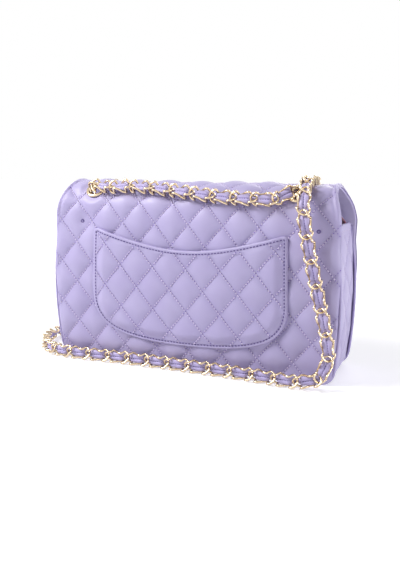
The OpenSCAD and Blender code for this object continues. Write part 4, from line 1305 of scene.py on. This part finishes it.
pocket_thread, edge_thread = Thread(), Thread()
quilt_stitches(pocket_thread, in_pocket, pocket_place, 20, s_mouth, lift=0.75)
EDGE_INSET = 3.3
loop = even_line(np.vstack([pocket_ring, pocket_ring[:1]]), 420)[:-1]
ahead = unit(np.roll(loop, -1, axis=0) - np.roll(loop, 1, axis=0))
inset_ring = loop + EDGE_INSET * np.stack([-ahead[:, 1], ahead[:, 0]], axis=1)
inset_ring = inset_ring[from_outline(inset_ring[:, 0], inset_ring[:, 1], pocket_ring) > EDGE_INSET - 0.3]
inset_ring = np.vstack([inset_ring, inset_ring[:1]])
inset_x, inset_s = inset_ring[:, 0], s_at(inset_ring[:, 1])
inset_at = pocket_place(inset_x, inset_s, 0.0)
edge_thread.row(inset_at, pocket_place(inset_x, inset_s, 1.0) - inset_at, pitch=3.3, length=2.2, width=1.15,
                height=0.9, lift=0.5)
pocket_seams = pocket_thread.piece("pocket_quilting_stitches", pale_thread)
pocket_edge_stitches = edge_thread.piece("pocket_edge_stitches", plum_thread)
for piece in (pocket_leather, pocket_seams, pocket_edge_stitches):
    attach(piece, "body")
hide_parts("rear_pocket")

# %% [markdown]
# ## Gussets and base
# One strip of leather goes round the bag: down one side, under it and up the other. Its sides are
# softly stuffed and quilted like the panels, they hang in a little towards the mouth, and their upper
# edges are folded over and sewn down. The part under the bag is flat, over the stiff board.

# %% Gussets and base: the line round the bag
GUSSET_TOP = 149.0
side_z = np.linspace(GUSSET_TOP, CORNER, 96)
corner_k = np.radians(np.linspace(0, 90, 13))[1:]
side_line = np.stack([half_width(side_z), side_z], axis=1)
corner_line = np.stack([half_base + CORNER * np.cos(corner_k), CORNER - CORNER * np.sin(corner_k)], axis=1)
base_line = np.stack([np.linspace(half_base, -half_base, 130)[1:-1], np.zeros(128)], axis=1)
round_line = np.vstack([side_line, corner_line, base_line, mirrored(corner_line)[::-1],
                        mirrored(side_line)[::-1]])


def outward_of(line):
    """The outward direction at each point of a line round the bag."""
    ahead = unit(np.gradient(line, axis=0))
    return np.stack([-ahead[:, 1], ahead[:, 0]], axis=1)


def gusset_sag(z, share):
    """How far a gusset hangs in towards the mouth."""
    return 3.2 * ease((z - 55.0) / 100.0) * np.sin(np.pi * np.clip(share, 0, 1)) ** 1.3


round_n = outward_of(round_line)
print("line round the bag: %.0f mm" % measured(round_line)[-1])

# %% Gussets and base: meshes
SEAM_IN = LEATHER - 0.4
GUSSET_HEM = [(0.6, 0.75), (1.9, 1.05), (3.2, 0.55), (3.7, -1.0), (3.7, -9.0)]


def round_strip(name, first, last, turn_top):
    """A length of the strip round the bag, between two of its points."""
    rows = np.arange(first, last + 1)
    share = np.linspace(0, 1, 66)
    x0, z0 = round_line[rows, 0], round_line[rows, 1]
    y_low, y_high = back_y(z0) + SEAM_IN, np.full(len(rows), FRONT_OUT - SEAM_IN)
    y = y_low[:, None] + (y_high - y_low)[:, None] * share[None]
    edge = np.minimum(y - y_low[:, None], y_high[:, None] - y)
    height = np.broadcast_to(z0[:, None], y.shape)
    upright = ease((height - 4.0) / 22.0)
    from_top = GUSSET_TOP - height
    # Seams are counted along the strip so that the diamonds meet the panels' corner to corner.
    run = np.broadcast_to(s_at(np.maximum(z0, 0))[:, None], y.shape)
    p, q = seams_at(y - 2.0 + QUILT_X + DIAMOND_W * 0.5, run)
    soft = ease(edge / 8.0) * ease((from_top - 7.5) / 6.0)
    padded = -0.9 + 2.1 * np.sqrt(np.abs(np.sin(np.pi * p) * np.sin(np.pi * q)))
    out = EDGE_OUT - 0.3 * upright + padded * soft * upright - gusset_sag(height, share[None]) * upright
    out = out - round_over(edge, 3.0) * 0.7 - 0.4 * np.exp(-((from_top - 6.0) / 0.9) ** 2)
    nx, nz = round_n[rows, 0][:, None], round_n[rows, 1][:, None]
    x, z = x0[:, None] + out * nx, z0[:, None] + np.maximum(out * nz, -z0[:, None])
    points = np.stack([x, y, z], axis=-1)
    quilted = soft * upright > 0.3
    sheet = Sheet(points, grid_faces(*y.shape), np.where(quilted, p, 0.5), np.where(quilted, q, 0.5))
    if turn_top:
        row, side = (0, 1) if turn_top == "first" else (len(rows) - 1, -1)
        rings = [points[row] + np.array([-side * draw, 0, rise]) for draw, rise in GUSSET_HEM]
        sheet.fold(row * len(share) + np.arange(len(share)), rings, flip=turn_top == "first")
    return sheet.piece(name, quilted_leather), points, (p, q, quilted)


last_point = len(round_line) - 1
to_base = len(side_line) + len(corner_line) - 1
right_gusset, right_points, right_seams = round_strip("right_gusset_leather", 0, to_base, "first")
base_leather, _, _ = round_strip("base_leather", to_base, last_point - to_base, None)
left_gusset, left_points, left_seams = round_strip("left_gusset_leather", last_point - to_base, last_point,
                                                   "last")
for piece in (right_gusset, base_leather, left_gusset):
    print(piece.name, len(piece.data.polygons), "faces")


# %% Gussets: stitches
def seam_spots(points, line, quilted):
    """Where a seam crosses the rows of a grid, with the cell of each crossing."""
    spots = []
    for i, row in enumerate(line):
        for j in np.where(row[:-1] * row[1:] <= 0)[0]:
            t = row[j] / (row[j] - row[j + 1] + 1e-12)
            if quilted[i, j]:
                spots.append((points[i, j] * (1 - t) + points[i, j + 1] * t, i, j))
    return spots


def outward_at(points, i, j):
    """The direction out of a grid of points at one of its cells."""
    i2, j2 = min(i + 1, len(points) - 1), min(j + 1, points.shape[1] - 1)
    return np.cross(points[i2, j] - points[max(i2 - 1, 0), j], points[i, j2] - points[i, j2 - 1])


def grid_stitches(thread, points, p, q, quilted):
    """Stitches of both seam families on a grid of points."""
    for mark in (p, q):
        for k in range(math.floor(mark.min()), math.ceil(mark.max()) + 1):
            spots = seam_spots(points, mark - k, quilted)
            if len(spots) < 4:
                continue
            path = np.array([spot for spot, _, _ in spots])
            normals = np.array([outward_at(points, i, j) for _, i, j in spots])
            cuts = np.where(np.linalg.norm(np.diff(path, axis=0), axis=1) > 6.0)[0] + 1
            for part, part_n in zip(np.split(path, cuts), np.split(normals, cuts)):
                if len(part) > 3:
                    thread.row(part, part_n, lift=0.12)


gusset_thread = Thread()
grid_stitches(gusset_thread, right_points, *right_seams)
grid_stitches(gusset_thread, left_points, *left_seams)
# The hem is sewn 6 mm below the gusset's upper edge.
hem_row = int(round(6.0 / (GUSSET_TOP - CORNER) * (len(side_z) - 1)))
for points, side, row in ((right_points, 1, hem_row), (left_points, -1, len(left_points) - 1 - hem_row)):
    path = points[row, 3:-3]
    gusset_thread.row(path, np.tile([side, 0, 0.0], (len(path), 1)), lift=0.15, width=0.7)
gusset_stitches = gusset_thread.piece("gusset_stitches", pale_thread)
for piece in (right_gusset, left_gusset, base_leather, gusset_stitches):
    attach(piece, "body")
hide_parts("right_gusset")
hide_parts("left_gusset")
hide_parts("base_panel")

# %% [markdown]
# ## Front panel
# The panel under the flap is quilted like the back. Its upper edge is folded and sewn; the lock's post
# goes through a small hole, and the quilting lies flat where the lock and the snap are fixed.

# %% Front panel: surface
FRONT_TOP = 146.6
FLAT_OUT = -0.25


def front_edge(x, z):
    """Distance of a point on the front panel from its edges."""
    side = half_width(np.maximum(z, CORNER)) - np.abs(x)
    return np.minimum(edge_distance(x, z, side, half_base, CORNER), FRONT_TOP - z + 1.2)


def front_s(z):
    """Length along the strip over a height on the front, and the other way round."""
    return strip.length + HEM - z


def front_out(x, z):
    """How far the front panel's face stands out from its pattern."""
    edge = front_edge(x, z)
    out = EDGE_OUT + (-1.2 + 2.0 * puff(x, front_s(z))) * ease(edge / 8.0)
    out = toward(out, FLAT_OUT, fading(from_plate(x, z, 17.0, 12.0), 0.0, 6.0))
    out = toward(out, FLAT_OUT, fading(np.hypot(x, z - SNAP_Z), 5.5, 11.5))
    return out - round_over(edge, 3.0) * 0.9


# %% Front panel: mesh
front_z = np.concatenate([np.linspace(0, CORNER, 9)[:-1], np.linspace(CORNER, FRONT_TOP, 96)])
fx = np.linspace(-1, 1, 210)[None, :] * half_width(front_z)[:, None]
fz = np.broadcast_to(front_z[:, None], fx.shape)
front_points = np.stack([fx, FRONT_OUT + front_out(fx, fz), fz], axis=-1)
front_faces = grid_faces(*fx.shape)[:, ::-1]
hole = np.hypot(fx, fz - LOCK_Z).reshape(-1) < 3.4
front_faces = front_faces[~hole[front_faces].any(axis=1)]
quiet = (front_edge(fx, fz) < 3.5) | (from_plate(fx, fz, 17.0, 12.0) < 2)
fp, fq = [np.where(quiet, 0.5, seam) for seam in seams_at(fx, front_s(fz))]
front_sheet = Sheet(front_points, front_faces, fp, fq)
rings = []
for draw, rise in ((1.2, 0.25), (2.6, 0.0), (3.4, -1.0), (3.6, -9.0)):
    ring = front_points[-1].copy()
    ring[:, 1:] = FRONT_OUT - 0.4 - draw, FRONT_TOP + rise
    rings.append(ring)
front_sheet.fold(np.arange(fx.size)[-fx.shape[1]:], rings, flip=True)
front_leather = front_sheet.piece("front_panel_leather", quilted_leather)
print("front panel faces:", len(front_leather.data.polygons))


# %% Front panel: stitches
def front_place(x, s, up):
    z = front_s(s)
    return np.stack([x, FRONT_OUT + front_out(x, z) + up, z], axis=-1)


def on_front(x, s):
    z = front_s(s)
    clear = (from_plate(x, z, 18.5, 13.5) >= 0) & (np.hypot(x, z - SNAP_Z) > 7)
    return (z > 0) & (z < FRONT_TOP - 8) & (front_edge(x, z) > 4.5) & clear


front_thread = Thread()
quilt_stitches(front_thread, on_front, front_place, front_s(FRONT_TOP), front_s(0))
top_x = np.linspace(-140, 140, 200)
top_at = front_place(top_x, np.full(200, front_s(FRONT_TOP - 5.0)), 0.0)
front_thread.row(top_at, np.tile([0, 1.0, 0], (200, 1)), lift=0.15)
front_stitches = front_thread.piece("front_panel_stitches", pale_thread)
for piece in (front_leather, front_stitches):
    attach(piece, "body")
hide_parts("front_panel")

# %% [markdown]
# ## Bound edges and tacks
# Where the panels meet the strip round the bag, the raw edges are wrapped in a narrow bias of leather,
# a soft roll that follows the outline. The tacks that hold the ends of the flap to the back are a few
# turns of thick thread pulled tight, each in its own dimple.

# %% Bound edges
WELT_SIDES = 12
welt_line = even_line(round_line, 300)
welt_n = outward_of(welt_line)


def bound_edge(name, top, y_of):
    """A roll of leather that follows the outline up to a height, thinner towards its ends."""
    below = welt_line[:, 1] <= top
    line, n = welt_line[below], welt_n[below]
    fade = fading(line[:, 1], 96.0, 138.0)
    stand = -1.2 + 2.1 * ease((line[:, 1] - 2.0) / 14.0) * fade
    x, z = line[:, 0] + stand * n[:, 0], np.maximum(line[:, 1] + stand * n[:, 1], 1.25)
    path = np.stack([x, y_of(line[:, 1]), z], axis=1)
    across, upward = frames_along(path, np.tile([0, 1.0, 0], (len(path), 1)))
    number = np.arange(len(path))
    uneven = 0.06 * np.sin(number * 1.9) + 0.05 * np.sin(number * 0.53)
    points, faces = tube(path, across, upward, (1.25 + uneven) * (0.55 + 0.45 * fade), sides=WELT_SIDES)
    ends = [range(WELT_SIDES), range(len(points) - 1, len(points) - 1 - WELT_SIDES, -1)]
    return mesh_piece(name, points, [*faces, *ends], edge_leather)


back_bound = bound_edge("back_bound_edge", 156.0, lambda z: back_y(z) + SEAM_IN)
front_bound = bound_edge("front_bound_edge", 146.0, lambda z: np.full(len(z), FRONT_OUT - SEAM_IN))
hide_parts("back_welt")
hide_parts("front_welt")
print("bound edges:", back_bound.name, front_bound.name)

# %% Tacks
TACK_TURNS = [(0.0, 1.7), (0.7, 1.45), (-0.6, 1.5)]
turn = np.linspace(0, 2 * np.pi, 28, endpoint=False)
tack_points, tack_faces, tack_total = [], [], 0
for tack_x, tack_z in TACKS:
    middle = back_place(np.array([tack_x]), s_at(np.array([tack_z])), 0.0)[0]
    for tilt, size in TACK_TURNS:
        x, z = size * np.cos(turn), 0.9 * size * np.sin(turn)
        out = 0.35 + 0.25 * np.sin(2 * turn + tilt)
        path = middle + np.stack([x * math.cos(tilt) - z * math.sin(tilt), -out,
                                  x * math.sin(tilt) + z * math.cos(tilt)], axis=1)
        ahead = unit(np.roll(path, -1, axis=0) - np.roll(path, 1, axis=0))
        across = unit(np.cross(ahead, (0, -1.0, 0)))
        points, faces = tube(path, across, np.cross(across, ahead), 0.42, sides=8, closed=True)
        tack_points.append(points)
        tack_faces.append(faces + tack_total)
        tack_total += len(points)
tacks = mesh_piece("thread_tacks", np.vstack(tack_points), np.vstack(tack_faces), plum_thread)
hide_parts("back_tacks")
for piece in (back_bound, front_bound, tacks):
    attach(piece, "body")

# %% [markdown]
# ## Inner flap, flap lining and bag lining
# Under the quilted flap lies a second, plain flap of one soft layer that closes the mouth with a snap.
# The underside of the outer flap is lined with thin leather, whose lilac is painted paler as painted
# light on a face that lies in shade. The body is lined with burgundy cloth, cut a little large so that
# it hangs in slow folds.


# %% Soft sheets
def slab(name, profile, width_of, rows_at, columns, thick, radius, out, finish, skip, wave):
    """A soft sheet of some thickness that follows a profile in the side view, with round side edges."""
    width = width_of(rows_at)
    u = np.sin(np.linspace(-math.pi / 2, math.pi / 2, columns) * 0.999)
    x = u[None, :] * width[:, None]
    s = np.broadcast_to(rows_at[:, None], x.shape)
    from_side = width[:, None] - np.abs(x)
    from_end = np.minimum(rows_at - rows_at[0], rows_at[-1] - rows_at)[:, None]
    drop = np.maximum(round_over(from_side, radius), round_over(from_end, radius)) / radius * thick / 2
    ripple = wave(x, s)
    points = [np.stack([x, *profile.at(s, height)], axis=-1).reshape(-1, 3)
              for height in (out - drop + ripple, out - thick + drop + ripple)]
    upper = grid_faces(*x.shape)
    upper = upper[~skip(x, s).reshape(-1)[upper].any(axis=1)]
    lower = upper[:, ::-1] + x.size
    rim = rim_of(np.arange(x.size).reshape(x.shape))
    ahead = np.roll(rim, -1)
    wall = np.stack([ahead, rim, rim + x.size, ahead + x.size], axis=-1)
    which = np.repeat([0, len(finish) - 1, 0], [len(upper), len(lower), len(wall)])
    return mesh_piece(name, np.vstack(points), np.vstack([upper, lower, wall]), finish, which=which)


def flap_rows(start, whole, count, inset):
    """Places down a flap, closer together round its lower corners."""
    quarter = np.radians(np.linspace(0, 90, 26))
    corner_rows = whole - inset - (FLAP_R - inset) * (1 - np.sin(quarter))
    rows = np.unique(np.concatenate([np.linspace(start, whole - 30, count), corner_rows]))
    return rows[np.concatenate([[True], np.diff(rows) > 0.02])]


# %% Inner flap
INNER_INSET = 7.0
inner_front = [[INNER_OUT, z] for z in np.linspace(INNER_TURN, INNER_LOW, 40)]
inner_profile = Profile(np.vstack([bezier(INNER, fine), inner_front]))
inner_rows = flap_rows(0, inner_profile.length, 90, 0)
snap_s = inner_profile.length - (SNAP_Z - INNER_LOW)


def inner_width(s):
    """Half the width of the inner flap."""
    z, low = inner_profile.height(s), inner_profile.length - s
    front = half_width(np.maximum(z, INNER_LOW + FLAP_R)) - round_over(low, FLAP_R)
    return np.where(low < INNER_TURN - INNER_LOW, front, half_width(z)) - INNER_INSET


def inner_place(x, s, up):
    return np.stack([x, *inner_profile.at(s, 2.2 + up)], axis=-1)


inner_flap = slab("inner_flap_leather", inner_profile, inner_width, inner_rows, columns=90, thick=2.3,
                  radius=1.3, out=2.35, finish=[plain_leather, lining_cloth],
                  skip=lambda x, s: np.hypot(x, s - snap_s) < 2.4,
                  wave=lambda x, s: -0.15 + 0.12 * np.sin(x / 23 + s / 19))
corner_s = inner_profile.length - FLAP_R
rim = rim_line(inner_rows[inner_rows < corner_s], inner_width, inner_profile.length,
               float(inner_width(np.array([corner_s]))[0]) - FLAP_R, 3.5, 20)
rim_at = inner_place(rim[:, 0], rim[:, 1], 0.0)
inner_thread = Thread()
inner_thread.row(rim_at, inner_place(rim[:, 0], rim[:, 1], 1.0) - rim_at, lift=0.1)
inner_stitches = inner_thread.piece("inner_flap_stitches", pale_thread)
for piece in (inner_flap, inner_stitches):
    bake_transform(piece)
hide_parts("inner_flap_top", "inner_flap_front")

# %% Flap lining
def flap_lining_width(s):
    """Half the width of the flap's lining, a little narrower than the leather."""
    return width_front(np.minimum(s + 1.5, strip.length)) - 1.6


flap_lining = slab(
    "flap_lining_leather_painted_light", strip, flap_lining_width, flap_rows(s_mouth - 4, strip.length, 130, 1.5),
    columns=140, thick=1.0, radius=0.8, out=-3.9, finish=[flap_lining_leather_painted_light],
    skip=lambda x, s: lock_window(x, s) | (from_eyelets(x, s) < 9.0),
    wave=lambda x, s: 0.55 * ease((s - s_fold + 6) / 14) - 0.12 * (1 + np.sin(x / 17 + s / 29)))
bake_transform(flap_lining)
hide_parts("flap_top_lining")

# %% Bag lining: rings seen from above
LINING_TOP, LINING_R, RING_COUNT = 145.0, 6.0, 220
lining_z = np.concatenate([np.linspace(6.2, 12, 6), np.linspace(14, 144.2, 40), [LINING_TOP]])
around = np.arange(RING_COUNT)


def lining_ring(z, inset):
    """The lining's outline at a height."""
    half_x = float(half_width(z, LEATHER)) - inset
    y_back, y_front = float(back_y(z)) + LEATHER + inset, FRONT_OUT - LEATHER - inset
    x, y_low, y_high = half_x - LINING_R, y_back + LINING_R, y_front - LINING_R
    corners = []
    for number, centre in enumerate([(x, y_high), (-x, y_high), (-x, y_low), (x, y_low)]):
        k = np.linspace(0, np.pi / 2, 7) + number * np.pi / 2
        corners.append(centre + LINING_R * np.stack([np.cos(k), np.sin(k)], axis=1))
    ring = even_line(np.vstack(corners + [corners[0][:1]]), RING_COUNT + 1)[:-1]
    share = (ring[:, 1] - y_back) / (y_front - y_back)
    at_side = ease((np.abs(ring[:, 0]) - half_x + 14) / 12)
    ring[:, 0] -= np.sign(ring[:, 0]) * at_side * gusset_sag(z, share)
    return ring


def hanging(ring, z, depth):
    """A ring drawn inward here and there, so that the cloth hangs in slow folds."""
    k = around / RING_COUNT * 2 * np.pi
    slow, quick = np.sin(17 * k + 0.4 * np.sin(z / 21)) * np.sin(z / 47), np.sin(29 * k + z / 33)
    fold = np.maximum(depth * (0.7 + 0.7 * slow + 0.4 * quick), 0) * ease((LINING_TOP - z) / 30)
    inward = unit(np.array([0, -2.0]) - ring) * np.array([0.35, 1.0])
    return ring + fold[:, None] * inward


def band(low, high):
    """Faces between two rings, given by the numbers of their points."""
    return np.stack([low, np.roll(low, -1), np.roll(high, -1), high], axis=-1)


# %% Bag lining: mesh
lining_points = [np.column_stack([hanging(lining_ring(z, inset), z, depth), np.full(RING_COUNT, z)])
                 for inset, depth in ((0.35, 0.0), (1.3, 1.0)) for z in lining_z]
n = len(lining_z)
outer_faces = grid_faces(n, RING_COUNT, closed=True)
inner_faces = grid_faces(n, RING_COUNT, closed=True, first=n * RING_COUNT)[:, ::-1]
top_faces = band((n - 1) * RING_COUNT + around, (2 * n - 1) * RING_COUNT + around)
lining_faces = [*outer_faces, *inner_faces, *top_faces]
floor_ring, previous = lining_points[n], n * RING_COUNT + around
for share in (0.97, 0.7, 0.35, 0.05):
    here = len(lining_points) * RING_COUNT + around
    lining_points.append(floor_ring * (share, share, 1) + (0, -2 * (1 - share), 1.2 + 0.4 * share))
    lining_faces += [*band(previous, here)[:, [0, 3, 2, 1]]]
    previous = here
lining_faces.append(previous[::-1])
bag_lining = mesh_piece("bag_lining_cloth", np.vstack(lining_points), lining_faces, lining_cloth)
print("lining faces:", len(bag_lining.data.polygons))
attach(bag_lining, "body")
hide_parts("lining")

# %% [markdown]
# ## Fittings and board
# The eyelets, washers, lock and snap are turned and stamped metal: their exact shapes are right as they
# come from the frame, so they only get their plating. The board in the base gets its fibre finish.

# %% Fittings
for name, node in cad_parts.items():
    if node.hide_render:
        continue
    node.data.materials.clear()
    node.data.materials.append(board_fibre if name == "base_board" else fitting_gold)
    node.data.polygons.foreach_set("use_smooth", np.ones(len(node.data.polygons), bool))
    if name != "base_board":
        node.data.set_sharp_from_angle(angle=math.radians(32))
        soft_edge = node.modifiers.new("soft_edge", "BEVEL")
        soft_edge.width, soft_edge.segments = 0.00025, 2
        soft_edge.limit_method, soft_edge.angle_limit = "ANGLE", math.radians(40)
    print("kept from the frame:", name)

# %% [markdown]
# ## Light and floor
# A product photograph on white: a soft key light high on the left of the photo's side, a low side
# light on the right and a soft light from the front, all in a light surround with a few darker panels
# in the light it gives; the camera and mirrored rays see it plain white. The floor is pale, glows a
# little brighter away from the bag, and keeps the soft shadow under the bag and the chain.

# %% Light: surround
world = bpy.data.worlds.new("white_studio")
bpy.context.scene.world = world
world.use_nodes = True
sky = world.node_tree
sky.nodes.clear()
sky_out = sky.nodes.new("ShaderNodeOutputWorld")
direction = place(sky, "ShaderNodeTexCoord").outputs["Generated"]
up = place(sky, "ShaderNodeSeparateXYZ", {0: direction}).outputs[2]
room = blended(sky, ranged(sky, up, -0.1, 0.5, 0.0, 1.0), (0.55, 0.54, 0.58, 1), (0.95, 0.95, 0.98, 1))
panels = ranged(sky, noise(sky, direction, 1.6, 1.0), 0.44, 0.54, 0.35, 1.0)
room = blended(sky, 1.0, room, panels, "MULTIPLY")
lit = place(sky, "ShaderNodeBackground", {"Color": room, "Strength": 0.41})
white = place(sky, "ShaderNodeBackground", {"Color": (1, 1, 1, 1), "Strength": 1.0})
shown = place(sky, "ShaderNodeMixShader", {0: seen_directly(sky), 1: lit.outputs[0], 2: white.outputs[0]})
sky.links.new(shown.outputs[0], sky_out.inputs[0])
print("surround:", len(sky.nodes), "nodes")


# %% Light: lamps
def soft_light(name, place_at, target, size, power):
    """A soft rectangular lamp that faces a point."""
    light = bpy.data.lights.new(name, "AREA")
    light.shape, light.size, light.size_y, light.energy = "RECTANGLE", size[0], size[1], power
    lamp = bpy.data.objects.new(name, light)
    bpy.context.scene.collection.objects.link(lamp)
    z = unit(np.array(place_at, float) - np.array(target, float))
    x = unit(np.cross((0, 0, 1.0), z))
    turned = np.column_stack([x, np.cross(z, x), z, place_at])
    lamp.matrix_world = Matrix([*turned.tolist(), [0, 0, 0, 1]])
    print("lamp:", name, power, "W")
    return lamp


key_light = soft_light("key_light", (-0.7, -0.54, 0.84), (-0.03, 0, 0.1), (0.5, 0.4), 13.3)
side_light = soft_light("side_light", (1.25, -0.16, 0.34), (0, 0, 0.12), (0.8, 0.5), 8.0)
soft_light("front_light", (0.2, 1.25, 0.95), (0, 0, 0.1), (0.9, 0.8), 8.0)

# %% Floor
floor_material, floor_tree, floor_shader = new_material("pale_floor")
floor_shader.inputs["Base Color"].default_value = (0.8, 0.8, 0.825, 1)
floor_shader.inputs["Roughness"].default_value = 0.7
floor_shader.inputs["Specular IOR Level"].default_value = 0.0
floor_at = place(floor_tree, "ShaderNodeNewGeometry").outputs["Position"]
how_far = place(floor_tree, "ShaderNodeVectorMath", {0: floor_at}, operation="LENGTH").outputs["Value"]
glow = ranged(floor_tree, how_far, 0.24, 0.75, 0.42, 1.0)
glow = sums(floor_tree, "MULTIPLY", seen_directly(floor_tree), glow)
floor_shader.inputs["Emission Color"].default_value = (1, 1, 1, 1)
floor_tree.links.new(glow, floor_shader.inputs["Emission Strength"])
floor_mesh = bpy.data.meshes.new("studio_floor")
floor_corners = [(x, y, -0.0004) for x, y in ((-6, -6), (6, -6), (6, 6), (-6, 6))]
floor_mesh.from_pydata(floor_corners, [], [(0, 1, 2, 3)])
floor_mesh.materials.append(floor_material)
floor = bpy.data.objects.new("studio_floor", floor_mesh)
bpy.context.scene.collection.objects.link(floor)
bpy.context.scene.view_settings.view_transform = "Standard"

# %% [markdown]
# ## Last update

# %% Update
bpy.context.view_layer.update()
